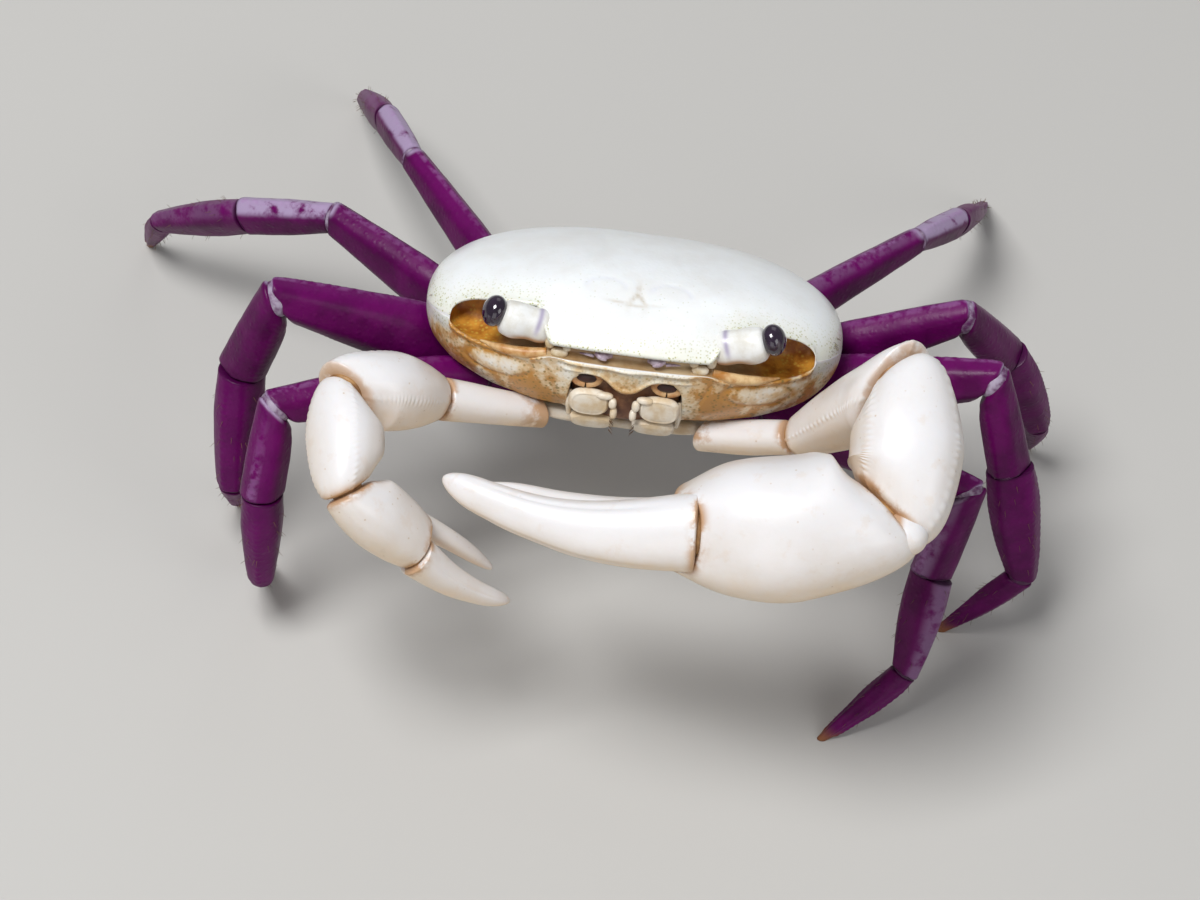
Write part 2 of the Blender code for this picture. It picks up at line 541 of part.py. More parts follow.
def build_claw(name, shapes, bends, material, collection):
    """A claw arm: base, merus, carpus, palm with its fixed finger, and the moving finger."""
    joints, facing = claw_joints(name)
    claw_up = body_to_floor(CLAW_UP[name]) - np.array(BODY_PLACE)
    axes = [(b - a) / np.linalg.norm(b - a) for a, b in zip(joints[:-1], joints[1:])]
    cuts, gaps = limb_cuts(axes, facing, None)
    above, below, gape, shorter, shift = CLAW_FINGERS[name]
    _, palm_up, palm_side = segment_axes(joints[3], joints[4], claw_up)
    _, finger_up, finger_side = segment_axes(joints[4], joints[5], claw_up)
    ends = list(zip(joints[:-1], joints[1:]))
    # The moving finger's start is shifted within the joint's own plane, so that the gap stays even
    slope = plane_slopes(axes[3], cuts[3][1], palm_up, palm_side)[0]
    ends[4] = (joints[4] + above * (palm_up + slope * axes[3]), joints[5])
    ups = (FLOOR, FLOOR, claw_up, claw_up, claw_up)
    for i, part in enumerate(("base", "merus", "carpus", "palm", "finger")):
        more = {"parts": FINGER_PARTS} if part == "finger" else {}
        rings = segment_rings(*ends[i], ups[i], shapes[part], CLAW_RING, 1.0, cuts[i], gaps[i],
                              bend=bends.get(part, (0.0, 0.0)), **more)
        piece = add_grid_solid(f"{name}_{part}", rings, material, collection)
        if part == "palm":
            start = joints[4] - below * palm_up - POLLEX_SUNK * axes[3] - shift * finger_side
            tip = joints[5] - gape * finger_up - shorter * axes[4] - shift * finger_side
            rings = segment_rings(start, tip, claw_up, shapes["pollex"], CLAW_RING, bend=bends["pollex"],
                                  parts=FINGER_PARTS)
            pollex = add_grid_solid(f"{name}_pollex", rings, material, collection)
            fuse(f"{name}_palm", [piece, pollex], material, collection)


def main():
    """Build every part."""
    clear_scene()
    crab = bpy.data.collections.new("crab")
    bpy.context.scene.collection.children.link(crab)
    white = make_material("carapace_white", WHITE, 0.42)
    ivory = make_material("claw_ivory", IVORY, 0.45)
    purple = make_material("leg_purple", PURPLE, 0.4)
    cream = make_material("underside_cream", CREAM, 0.5)
    black = make_material("eye_black", BLACK, 0.08)
    build_shell(white, crab)
    build_sternum(cream, crab)
    build_pleon(cream, crab)
    for side, sign in (("r", -1), ("l", 1)):
        build_maxilliped(side, sign, cream, crab)
        build_eye(side, sign, white, black, crab)
    build_claw("claw_r", SMALL_CLAW, SMALL_BENDS, ivory, crab)
    build_claw("claw_l", BIG_CLAW, BIG_BENDS, ivory, crab)
    for name in LEG_POSE:
        build_leg(name, purple, crab)


main()
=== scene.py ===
"""The looks of the white-and-purple crab: its shell, claws, legs, eyes and mouth parts.

Lengths are in millimetres and are made metres when a mesh is built. The shell, eyes and mouth are
worked out in the body's own frame, in which the carapace lies level, and are then turned nose-up
and set over the floor. Each limb segment is a loft of oval rings along its axis.
"""

import functools
import math

import bpy
import numpy as np
from mathutils import Matrix, Vector


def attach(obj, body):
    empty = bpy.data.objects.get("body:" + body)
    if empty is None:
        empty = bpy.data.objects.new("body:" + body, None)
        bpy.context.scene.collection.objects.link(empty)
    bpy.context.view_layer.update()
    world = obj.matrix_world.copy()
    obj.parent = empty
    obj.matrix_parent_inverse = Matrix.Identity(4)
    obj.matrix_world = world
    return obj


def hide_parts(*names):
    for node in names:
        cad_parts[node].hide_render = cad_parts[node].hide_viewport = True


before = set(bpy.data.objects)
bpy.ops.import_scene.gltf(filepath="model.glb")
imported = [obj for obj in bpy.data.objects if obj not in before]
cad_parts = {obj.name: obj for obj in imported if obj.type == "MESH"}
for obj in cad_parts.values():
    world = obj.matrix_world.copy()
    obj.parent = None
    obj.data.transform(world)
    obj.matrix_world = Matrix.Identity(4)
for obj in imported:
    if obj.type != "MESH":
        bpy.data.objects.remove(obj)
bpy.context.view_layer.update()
MM = 0.001
UP = np.array([0.0, 0.0, 1.0])
ACROSS = np.array([1.0, 0.0, 0.0])
# The crab's sides, with the sign of x on each
SIDES = (("r", -1), ("l", 1))

# The body in its own frame, with its origin on the widest line
HALF_WIDTH = 13.5
OUTLINE_POWER = 2.35
POLE = np.array([0.0, -0.1])
BODY_PITCH = math.radians(28.3)
# Where the body's origin stands in the floor's frame, so that the whole crab is centred on it
BODY_PLACE = (2.75, -4.5, 20.0)
ORBIT_INNER = 5.45
ORBIT_MIDDLE = 9.0
ORBIT_OUTER = 11.75
ORBIT_DEPTH = 2.3
ORBIT_POWER = 3.0
FRONT_HALF_WIDTH = 5.0
FRONT_RECESS = 0.9
MOUTH_HALF_WIDTH = 3.7
MOUTH_WALL_Y = -4.75
# The plate over the mouth ends in a broad tooth in its middle, a little fuller than the solid's
MOUTH_TOP_Z = -0.95
TOOTH_DROP = 1.35 * 0.8
TOOTH_WIDTH = 1.35 * 0.95

# The midline profile of the shell as (y, z), from the hind margin over the back to the brow
BACK_LINE = [(10.7, -1.6), (10.35, 0.0), (9.3, 1.5), (7.3, 2.85), (4.6, 3.8), (1.6, 4.4),
             (-1.5, 4.45), (-4.2, 3.95), (-6.2, 2.95)]
# From the brow down the face to the lowest corner of the cheek
FACE_LINE = [(-7.3, 1.95), (-7.85, 1.05), (-7.75, 0.1), (-7.35, -0.8), (-6.9, -2.1),
             (-6.2, -3.45), (-5.2, -4.5)]
# Under the body, back to the hind margin
UNDER_LINE = [(-4.0, -4.6), (-2.6, -3.9), (-0.8, -3.6), (3.0, -3.6), (7.6, -3.5), (9.6, -2.9)]
# How finely the profile is followed, and how many rings the shell has
PROFILE_POINTS = 6000
SHELL_RINGS = 330
# How many points of a ring lie on the back, in the orbit or slot, on the plate over the mouth, on
# the mouth's roof, on the lower face and under the body
ON_BACK, ON_RECESS, ON_PLATE, ON_ROOF, ON_LOW, ON_UNDER = 118, 43, 30, 8, 30, 56
FACE_START = ON_BACK + ON_RECESS
PLATE_END = FACE_START + ON_PLATE
FACE_END = PLATE_END + ON_ROOF + ON_LOW

# Underside: the breastplate from front to back as y, half width, top and how far its floor rises
STERNUM = ((-4.6, 3.6, -5.1, 0.5), (-4.05, 4.85, -5.0, 0.25), (-3.0, 5.65, -4.95, 0.05),
           (-1.6, 6.05, -4.35, 0.0), (0.0, 6.15, -3.95, 0.0), (4.0, 6.15, -3.95, 0.0),
           (6.4, 5.9, -3.95, 0.05), (8.0, 5.2, -3.9, 0.3), (8.9, 3.9, -3.8, 0.8))
STERNUM_BOTTOM = -6.25
# The tail plate from front to back: y and half width
PLEON = ((-1.0, 0.45), (0.2, 1.0), (2.5, 1.5), (5.0, 2.2), (6.4, 2.6), (7.2, 2.3))
PLEON_Z = -6.85
# How far off the breastplate a limb starts
JOINT_GAP = 0.3
# A leg leaves the breastplate halfway between this height and the start of its merus, and at this
# share of how far back that start is
ROOT_HEIGHT = -5.8
ROOT_SHARE = 0.93

# Walking legs: where the merus starts, in the body's frame, for the crab's left side
HIPS = {"leg2": (9.0, -1.4, -4.8), "leg3": (9.6, 1.6, -4.6), "leg4": (9.4, 5.0, -4.75),
        "leg5": (7.4, 8.0, -4.3)}
# Lengths of merus, carpus, propodus and dactylus
LEG_LENGTHS = {"leg2": (14.2, 6.0, 7.2, 7.1), "leg3": (14.5, 6.7, 8.5, 7.4),
               "leg4": (13.5, 6.9, 8.4, 6.7), "leg5": (15.1, 5.8, 7.1, 6.5)}
# The pose, in whole degrees: (bearing, rise) of each segment. A bearing is 0 straight out to the
# limb's own side and 90 straight ahead. The last one has no rise: the tip goes down to the floor.
LEG_POSE = {
    "leg2_r": ((23, 5), (83, -60), (101, -77), -86),
    "leg3_r": ((8, 22), (30, -70), (90, -64), -94),
    "leg4_r": ((-33, 3), (-15, -26), (-22, -37), -66),
    "leg5_r": ((-54, -2), (-65, -23), (-69, -38), -81),
    "leg2_l": ((14, -5), (114, -51), (101, -56), 148),
    "leg3_l": ((1, 17), (49, -63), (57, -64), 167),
    "leg4_l": ((-7, 28), (-27, -57), (-10, -67), -93),
    "leg5_l": ((-44, -1), (-57, -30), (-70, -42), -79),
}
# How far the leg's crest leans back from upright, in degrees
LEG_LEAN = {"leg2": 25, "leg3": 40, "leg4": 15, "leg5": 10}
LEG_SIZE = {"leg2": 0.96, "leg3": 1.0, "leg4": 0.97, "leg5": 0.8}
# Segment shapes: (part of the length, height above the axis, depth below it, half thickness). Some
# are fuller at their joints than the solids, as in life.
LEG_SKINS = {
    "base": ((0.0, 1.45, 1.35, 1.15), (0.5, 1.4, 1.3, 1.05), (1.0, 1.35, 1.3, 1.0)),
    "merus": ((0.0, 1.3, 1.25, 1.0), (0.3, 2.05, 1.85, 1.25), (0.62, 1.8, 1.6, 1.2),
              (1.0, 1.2, 1.1, 1.0)),
    "carpus": ((0.0, 1.15, 1.05, 0.95), (0.5, 1.45, 1.3, 1.1), (1.0, 1.58, 1.42, 1.1)),
    "propodus": ((0.0, 1.58, 1.43, 1.1), (0.35, 1.62, 1.5, 1.12), (0.7, 1.36, 1.24, 0.95),
                 (1.0, 0.92, 0.84, 0.74)),
    "dactylus": ((0.0, 0.86, 0.8, 0.72), (0.3, 0.88, 0.78, 0.67), (0.7, 0.6, 0.5, 0.45),
                 (1.0, 0.3, 0.27, 0.25)),
}
# How much broader than those shapes a leg looks, up to its merus and beyond it: some legs show the
# viewer their broad faces
LEG_BROAD = {"leg2_r": (1.12, 1.25), "leg3_r": (1.15, 1.3), "leg4_r": (1.0, 0.95),
             "leg2_l": (0.82, 1.12), "leg3_l": (1.06, 1.12), "leg4_l": (1.06, 1.12)}
# How much painted lilac sheen from the light above lies along the top of merus, carpus and propodus
LEG_TOP_SHEEN = {"leg5_r": (0.0, 1.0, 0.3), "leg5_l": (0.3, 1.0, 0.0), "leg4_r": (0.0, 0.95, 0.3),
            "leg4_l": (0.1, 0.15, 0.0), "leg2_l": (0.0, 0.4, 0.4), "leg2_r": (0.1, 0.12, 0.0)}
LEG_TEETH = {"merus": 34, "carpus": 14, "propodus": 18, "dactylus": 16}
BRISTLES = 26

# Claw arms: the start of the merus in the body's frame, then (length, bearing, rise) of the
# merus, carpus, palm and finger
CLAW_POSE = {
    "claw_r": ((-11.68, -7.2, -4.04), (8.2, 32, 33), (6.7, 100, -14), (6.5, 180, -46),
               (8.5, -176, -43)),
    "claw_l": ((10.88, -6.39, -3.97), (9.8, 7, 53), (8.5, 88, -19), (11.7, 172, -7),
               (16.2, -176, 0)),
}
# The way from the fixed finger to the moving one, in the body's frame
CLAW_UP = {"claw_r": (-0.28, -0.95, -0.18), "claw_l": (0.0, -0.97, 0.25)}
# At the palm's end, how far above its axis the moving finger starts and below it the fixed one, how
# far apart the tips are, how much shorter the fixed finger is and how far it is shifted sideways
CLAW_FINGERS = {"claw_r": (0.8, 1.1, 1.6, 1.75, 0.0), "claw_l": (1.6, 2.9, 2.4, 2.4, 0.5)}
# Where the arm leaves the breastplate, as (y, z), and the size of its relief
CLAW_ROOT = {"claw_r": (-3.85, -5.6), "claw_l": (-3.85, -5.75)}
CLAW_RELIEF = {"claw_r": 0.55, "claw_l": 1.0}
# Segment shapes, as for the legs; pollex is the fixed finger
CLAW_SKINS = {
    "claw_r": {
        "base": ((0.0, 0.9, 0.95, 0.95), (0.5, 1.05, 1.2, 1.15), (1.0, 1.4, 1.4, 1.3)),
        "merus": ((0.0, 1.45, 1.35, 1.3), (0.25, 2.3, 1.75, 2.0), (0.5, 2.8, 2.0, 2.35),
                  (0.8, 2.5, 2.0, 2.2), (1.0, 1.6, 1.6, 1.6)),
        "carpus": ((0.0, 1.0, 1.0, 1.0), (0.12, 1.6, 1.6, 1.6), (0.3, 2.15, 2.15, 2.2),
                   (0.55, 2.3, 2.3, 2.35), (0.8, 2.0, 2.0, 2.0), (1.0, 1.3, 1.3, 1.25)),
        "palm": ((0.0, 1.4, 1.4, 1.35), (0.3, 2.2, 2.2, 1.85), (0.7, 2.2, 2.2, 1.8),
                 (1.0, 1.8, 1.9, 1.5)),
        "finger": ((0.0, 1.35, 1.2, 1.35), (0.3, 1.1, 0.95, 1.1), (0.6, 0.85, 0.7, 0.85),
                   (0.88, 0.55, 0.45, 0.5), (1.0, 0.22, 0.2, 0.2)),
        "pollex": ((0.0, 0.9, 0.9, 0.85), (0.4, 0.7, 0.7, 0.65), (0.85, 0.42, 0.42, 0.4),
                   (1.0, 0.18, 0.18, 0.18)),
    },
    "claw_l": {
        "base": ((0.0, 0.9, 1.0, 1.0), (0.5, 0.85, 1.3, 1.1), (1.0, 0.95, 1.1, 1.1)),
        "merus": ((0.0, 1.0, 1.3, 1.2), (0.4, 1.6, 2.6, 1.8), (0.7, 2.0, 3.1, 2.1),
                  (0.92, 2.2, 3.1, 2.2), (1.0, 2.0, 2.8, 2.1)),
        "carpus": ((0.0, 1.4, 1.4, 1.4), (0.12, 2.4, 2.2, 2.4), (0.3, 3.3, 3.1, 3.3),
                   (0.55, 3.5, 3.3, 3.55), (0.8, 3.0, 2.9, 3.2), (1.0, 2.0, 2.0, 2.1)),
        "palm": ((0.0, 2.4, 2.0, 2.0), (0.15, 3.6, 3.2, 3.1), (0.36, 4.35, 4.2, 4.2),
                 (0.6, 4.45, 4.75, 4.5), (0.8, 3.95, 4.5, 4.2), (1.0, 2.95, 3.75, 3.3)),
        "finger": ((0.0, 2.05, 1.95, 2.5), (0.2, 1.95, 1.7, 2.2), (0.4, 1.7, 1.4, 1.85),
                   (0.58, 1.45, 1.15, 1.5), (0.78, 1.1, 0.95, 1.2), (0.92, 0.8, 0.7, 0.9),
                   (1.0, 0.4, 0.4, 0.42)),
        "pollex": ((0.0, 1.8, 2.0, 2.0), (0.3, 1.4, 1.5, 1.5), (0.65, 1.0, 1.0, 1.1),
                   (0.9, 0.6, 0.6, 0.7), (1.0, 0.22, 0.22, 0.25)),
    },
}
# How far a segment's middle bends off its straight axis, upwards and sideways
CLAW_BENDS = {
    "claw_r": {"finger": (0.35, 0.3), "pollex": (-0.3, 0.0)},
    "claw_l": {"carpus": (0.0, -0.9), "palm": (0.0, -0.5), "finger": (0.5, -1.2),
               "pollex": (-0.7, -0.9)},
}
# How long the rounded ends of a claw segment are
CLAW_CAPS = {"palm": (0.6, 0.22), "carpus": (0.7, 0.5), "finger": (0.22, 0.9)}
# How far behind the palm's end the fixed finger's root is sunk into it
POLLEX_SUNK = 1.5
# The knuckle on the large carpus: where it lies from the palm's start, and its radii
KNUCKLE_PLACE = (1.15, -1.5, 0.45)
KNUCKLE_RADII = (1.45, 1.4, 1.2)

# The steepest slopes of a cut at a joint, and of the flat on which a tip stands
STEEPEST_CUT = 1.1
FLOOR_CUT = 4.0
# A segment's rounded end: how many rings close it, and the power that makes it blunt
END_RINGS = 9
END_POWER = 0.77
# The joint fields fade over this length
JOINT_FADE = 0.8
# A direction that no rod runs along
NEVER_ALONG = np.array([0.31, -0.22, 0.92])

# Eyes, in the body's frame: (x, y) of the left stalk's start and end, and the heights of both on
# each side
STALK_START = (5.1, -6.1)
STALK_END = (8.5, -6.55)
STALK_HEIGHTS = {"r": (1.1, 2.05), "l": (1.1, 2.45)}
STALK_SKIN = ((0.0, 0.8, 0.8, 0.7), (0.26, 1.28, 1.0, 0.95), (0.4, 1.2, 1.0, 0.92),
              (0.72, 1.18, 1.25, 1.1), (1.0, 1.0, 1.05, 0.98))
CORNEA_RADII = (0.80, 1.04, 0.98)
# The soft pad under each stalk, along the orbit's lower rim: points and radii of a rod
ORBIT_PAD = (((5.3, -6.75, -0.05), (6.6, -6.65, -0.32), (8.2, -6.35, -0.36), (9.6, -5.7, -0.3)),
             (0.28, 0.38, 0.3, 0.06))

# Rods of a feeler on the crab's left side, as points and radii. It is folded: a stout base, a joint
# bent back on it and a fine whip beside them.
FEELER = ((((1.2, -7.1, 0.45), (1.7, -7.4, 0.5), (2.25, -7.35, 0.55)), (0.2, 0.26, 0.24, 0.14)),
          (((2.2, -7.4, 0.62), (1.8, -7.55, 0.4), (1.5, -7.45, 0.25)), (0.16, 0.2, 0.15, 0.1)),
          (((2.3, -7.3, 0.35), (2.75, -7.3, 0.4), (3.2, -7.15, 0.36)), (0.12, 0.1, 0.08, 0.05)))
# Rounded blocks on the left side of the face, as middle and radii: the small plates beside the
# feeler, the breathing opening, a dark block of painted shade, and the palp's joint on the mouth
# plate with two beads down its inner edge
FACE_PLATES = (((4.5, -7.0, 0.15), (0.55, 0.3, 0.32)), ((5.15, -6.75, 0.75), (0.34, 0.3, 0.5)),
               ((4.05, -7.0, 0.55), (0.3, 0.3, 0.24)))
BREATHING_HOLE = (((2.55, -6.62, -1.5), (0.66, 0.25, 0.34)),)
PALP = (((1.3, -6.9, -2.52), (0.55, 0.28, 0.24)), ((0.74, -6.88, -3.0), (0.26, 0.28, 0.38)),
        ((0.62, -6.8, -3.68), (0.23, 0.28, 0.42)))
# The oval rim round the breathing opening: middle, half width, half height, thickness and tilt
BREATHING_RIM = ((2.6, -6.6, -1.5), 0.84, 0.52, 0.24, 0.15)
# Mouth plates, upper and lower: middle, way down, half width, half height, rim and squareness
MOUTH_PLATES = (((2.25, -6.5, -3.2), (0.25, -0.97), 1.32, 0.98, 0.07, 2.7),
                ((2.0, -5.8, -4.75), (0.5, -0.86), 1.38, 0.62, 0.05, 2.8))
PLATE_THICKNESS = 0.4
# The mouth plate's outer branch, a slim rod along its outer edge
OUTER_BRANCH = (((3.45, -5.5, -4.7), (3.55, -5.9, -3.8), (3.5, -6.15, -2.7)), (0.17, 0.18, 0.1))

# Two-tone finishes: light and dark colour, roughness, and where they aren't usual scale and coat
PLAIN_LOOKS = {
    "joint_skin": ((0.40, 0.22, 0.08), (0.20, 0.09, 0.03), 0.5),
    "leg_joint_skin": ((0.07, 0.006, 0.06), (0.03, 0.002, 0.025), 0.5),
    "knee_skin": ((0.36, 0.30, 0.40), (0.09, 0.01, 0.08), 0.5, 1300),
    "underside_shell": ((0.78, 0.72, 0.62), (0.62, 0.48, 0.30), 0.42, 700),
    "face_shell": ((0.74, 0.66, 0.52), (0.52, 0.38, 0.20), 0.4, 1100, 0.2),
    "hair_brown": ((0.20, 0.11, 0.05), (0.09, 0.045, 0.02), 0.55),
    "orbit_pad": ((0.70, 0.50, 0.26), (0.42, 0.17, 0.03), 0.42, 800),
    "feeler_lilac": ((0.52, 0.44, 0.52), (0.24, 0.15, 0.20), 0.42, 1500),
    # Painted shade: near-black for the blocks that stand in the breathing openings
    "painted_opening_shade": ((0.05, 0.015, 0.012), (0.02, 0.006, 0.006), 0.4),
    "opening_rim": ((0.62, 0.40, 0.20), (0.42, 0.17, 0.05), 0.42, 1000),
    "mouth_brown": ((0.26, 0.12, 0.055), (0.10, 0.04, 0.022), 0.45),
}

# The view, read off the photo: distance, height angle over the body's level, roll, and where the
# body's origin stands in the picture as a share of its width from the middle
VIEW_DISTANCE = 320.0
VIEW_RISE = math.radians(26.0)
VIEW_ROLL = math.radians(7.3)
# The carapace, 27 mm wide, is 418 of the photo's 1200 pixels wide
VIEW_FOCUS = VIEW_DISTANCE * 418 / 27 / 1200
VIEW_ORIGIN = (35 / 1200, 132 / 1200)
SENSOR_WIDTH = 36
FLOOR_COLOUR = (0.52, 0.51, 0.49, 1.0)
SKY_COLOUR = (0.93, 0.96, 1.0, 1.0)
SKY_STRENGTH = 0.22
# Soft lights, in metres and watts: place, size and power, aimed at a point just over the floor
LIGHTS = (((-0.12, -0.08, 0.40), 0.16, 1.58), ((0.28, -0.22, 0.25), 0.2, 0.26),
          ((0.05, 0.35, 0.3), 0.25, 0.12), ((-0.03, -0.38, 0.13), 0.25, 0.17))
LIGHT_AIM = (0, 0, 0.012)


def ease(edge0, edge1, value):
    """Ease from 0 at edge0 to 1 at edge1."""
    t = np.clip((value - edge0) / (edge1 - edge0), 0.0, 1.0)
    return t * t * (3.0 - 2.0 * t)


def hump(value, middle, width):
    """A smooth hump of height 1 around a middle."""
    return np.exp(-((value - middle) / width) ** 2)


def unit(vector):
    """The vector at length 1."""
    return vector / np.linalg.norm(vector)


def unit_rows(vectors):
    """Each row of vectors at length 1."""
    return vectors / np.linalg.norm(vectors, axis=-1, keepdims=True)


def pushed(value, power):
    """A cosine or sine v pushed outwards to sign(v) |v|^(2 / power)."""
    return np.sign(value) * np.abs(value) ** (2 / power)


def squared(angle, power):
    """Cosine and sine of an angle, pushed outwards to a rounded square."""
    return pushed(np.cos(angle), power), pushed(np.sin(angle), power)


def turns(count):
    """Evenly spaced angles of one full turn."""
    return np.arange(count) / count * 2 * math.pi


def body_to_floor(points):
    """Turn points of the body's frame nose-up and lift them to their height over the floor."""
    points = np.asarray(points, dtype=float)
    c, s = math.cos(BODY_PITCH), math.sin(BODY_PITCH)
    turn = np.array([[1, 0, 0], [0, c, s], [0, -s, c]])
    return points @ turn.T + np.array(BODY_PLACE)


def floor_way(ways):
    """Turn directions of the body's frame into the floor's."""
    return body_to_floor(ways) - np.array(BODY_PLACE)


def mirrored(sign, points):
    """Points given for the crab's left side, or their mirror images where sign is -1."""
    return [(sign * x, y, z) for x, y, z in points]


def spline(points, count):
    """A smooth run of count points through the given ones, spaced evenly by number."""
    points = np.array(points, dtype=float)
    padded = np.vstack([2 * points[0] - points[1], points, 2 * points[-1] - points[-2]])
    t = np.linspace(0, len(points) - 1, count)
    i = np.minimum(t.astype(int), len(points) - 2)
    f = (t - i)[:, None]
    p0, p1, p2, p3 = (padded[i + k] for k in range(4))
    return 0.5 * (2 * p1 + (p2 - p0) * f + (2 * p0 - 5 * p1 + 4 * p2 - p3) * f**2
                  + (3 * p1 - p0 - 3 * p2 + p3) * f**3)


def ripples(points, scale, seed):
    """A gentle unevenness, mostly within -1 to 1: a sum of sine waves in seeded directions."""
    draw = np.random.default_rng(seed)
    total = np.zeros(points.shape[:-1])
    for _ in range(7):
        way = unit(draw.normal(size=3)) * draw.uniform(0.6, 1.6) * 2 * math.pi / scale
        total += np.sin(points @ way + draw.uniform(0, 2 * math.pi))
    return total / 4.0


def outward_normals(grid):
    """Unit directions square to a grid of closed rings, pointing out of it."""
    lengthwise = np.gradient(grid, axis=0)
    around = np.roll(grid, -1, axis=1) - np.roll(grid, 1, axis=1)
    normal = np.cross(lengthwise, around)
    normal = normal / np.maximum(np.linalg.norm(normal, axis=-1, keepdims=True), 1e-12)
    away = ((grid - grid.mean(axis=1, keepdims=True)) * normal).sum(axis=-1)
    return normal * np.sign(away.mean())


def closed_skin(grid):
    """Points and faces of a closed surface: rings (rows, columns, 3) with a point at each end."""
    rows, columns = grid.shape[:2]
    points = np.vstack([grid.reshape(-1, 3), grid[0].mean(axis=0), grid[-1].mean(axis=0)])
    here = np.arange(rows * columns).reshape(rows, columns)
    right = np.roll(here, -1, axis=1)
    quads = np.stack([here[:-1], right[:-1], right[1:], here[1:]], axis=-1).reshape(-1, 4)
    first = np.stack([right[0], here[0], np.full(columns, rows * columns)], axis=-1)
    last = np.stack([here[-1], right[-1], np.full(columns, rows * columns + 1)], axis=-1)
    return points, quads, np.vstack([first, last])


def signed_volume(points, quads, triangles):
    """Volume inside a closed surface, negative where its faces point inwards."""
    both = np.vstack([quads[:, [0, 1, 2]], quads[:, [0, 2, 3]], triangles])
    a, b, c = (points[both[:, k]] for k in range(3))
    return float(np.einsum("ij,ij->i", a, np.cross(b, c)).sum()) / 6.0


def add_mesh(name, points, faces, values, material, nodes=()):
    """Make one mesh object, in metres, with its values per point, and tie it to the frame."""
    mesh = bpy.data.meshes.new(name)
    mesh.from_pydata((points * MM).tolist(), [], faces)
    mesh.polygons.foreach_set("use_smooth", np.ones(len(mesh.polygons), dtype=bool))
    for key, value in values.items():
        stored = mesh.attributes.new(key, "FLOAT", "POINT").data
        stored.foreach_set("value", value.astype(np.float32))
    mesh.materials.append(material)
    mesh.update()
    item = bpy.data.objects.new(name, mesh)
    bpy.context.scene.collection.objects.link(item)
    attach(item, "root")
    if nodes:
        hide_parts(*nodes)


def add_piece(name, skins, material, nodes=()):
    """Make one mesh object of closed skins.

    skins is a list of (grid, {attribute: array (rows, columns)}). The last two points of each skin
    take the mean of their ring's values.
    """
    all_points, all_faces, store = [], [], {}
    offset = 0
    keys = sorted({key for _, fields in skins for key in fields})
    for grid, fields in skins:
        points, quads, triangles = closed_skin(grid)
        if signed_volume(points, quads, triangles) < 0:
            quads, triangles = quads[:, ::-1], triangles[:, ::-1]
        all_points.append(points)
        all_faces.extend((quads + offset).tolist())
        all_faces.extend((triangles + offset).tolist())
        for key in keys:
            field = np.broadcast_to(fields.get(key, 0.0), grid.shape[:2])
            ends = [field[0].mean(), field[-1].mean()]
            store.setdefault(key, []).append(np.concatenate([field.ravel(), ends]))
        offset += len(points)
    values = {key: np.concatenate(parts) for key, parts in store.items()}
    add_mesh(name, np.vstack(all_points), all_faces, values, material, nodes)


def add_hairs(name, roots, ways, droop, radius, material):
    """Thin three-sided hairs: each leaves its root along its way, droops and narrows to a point.

    A hair has three rings of three points, 0, 0.35 and 0.7 of its length from the root, and a tip.
    """
    rise = np.array([0.0, 0.35, 0.7])
    angle = turns(3)
    length = np.linalg.norm(ways, axis=1, keepdims=True)
    side = unit_rows(np.cross(ways, UP + 0.1 * ACROSS))
    other = np.cross(side, ways / length)
    middle = (roots[:, None] + rise[:, None] * ways[:, None]
              + droop * (rise**2)[:, None] * length[:, None] * -UP)
    ring = np.cos(angle)[:, None] * side[:, None] + np.sin(angle)[:, None] * other[:, None]
    thick = radius * (1 - 0.6 * rise)
    points = middle[:, :, None] + thick[:, None, None] * ring[:, None]
    tips = roots + ways + droop * length * -UP
    points = np.concatenate([points.reshape(len(roots), -1, 3), tips[:, None]], axis=1)
    faces = [(2, 1, 0)]
    for row in (0, 3):
        faces += [(row + k, row + (k + 1) % 3, row + 3 + (k + 1) % 3, row + 3 + k)
                  for k in range(3)]
    faces += [(6 + k, 6 + (k + 1) % 3, 9) for k in range(3)]
    all_faces = [tuple(corner + 10 * hair for corner in face)
                 for hair in range(len(roots)) for face in faces]
    add_mesh(name, points.reshape(-1, 3), all_faces, {}, material)


def dress(node, skins, material):
    """Make the skin that stands for one node of the frame."""
    add_piece(f"{node}_skin", skins, material, [node])


def placed(skins):
    """The same skins, brought from the body's frame to the floor's."""
    return [(body_to_floor(grid), fields) for grid, fields in skins]


# Limb segments

def along(stations, part):
    """Heights, depths and half thicknesses at parts of a segment's length, by cubic pieces."""
    table = np.array(stations)
    out = []
    for column in (1, 2, 3):
        slopes = np.gradient(table[:, column], table[:, 0])
        index = np.clip(np.searchsorted(table[:, 0], part, side="right") - 1, 0, len(table) - 2)
        x0, x1 = table[index, 0], table[index + 1, 0]
        t = (part - x0) / (x1 - x0)
        y0, y1 = table[index, column], table[index + 1, column]
        m0, m1 = slopes[index] * (x1 - x0), slopes[index + 1] * (x1 - x0)
        out.append((2 * t**3 - 3 * t**2 + 1) * y0 + (t**3 - 2 * t**2 + t) * m0
                   + (3 * t**2 - 2 * t**3) * y1 + (t**3 - t**2) * m1)
    return out


def segment_axes(start, end, up):
    """The unit axis of a segment, and the height and thickness directions square to it."""
    axis = unit(end - start)
    height = unit(up - axis * float(up @ axis))
    return axis, height, np.cross(axis, height)


def plane_slopes(axis, normal, height, side, limit=STEEPEST_CUT):
    """Slopes of a cutting plane in height and side, for a segment that runs along axis."""
    if normal is None:
        return 0.0, 0.0
    lead = float(axis @ normal)
    slopes = -float(height @ normal) / lead, -float(side @ normal) / lead
    return tuple(max(-limit, min(limit, slope)) for slope in slopes)


def direction(sign, bearing, rise):
    """A unit vector from a bearing and a rise in degrees, for a limb on one side."""
    b, r = math.radians(bearing), math.radians(rise)
    return np.array([sign * math.cos(r) * math.cos(b), -math.cos(r) * math.sin(b), math.sin(r)])


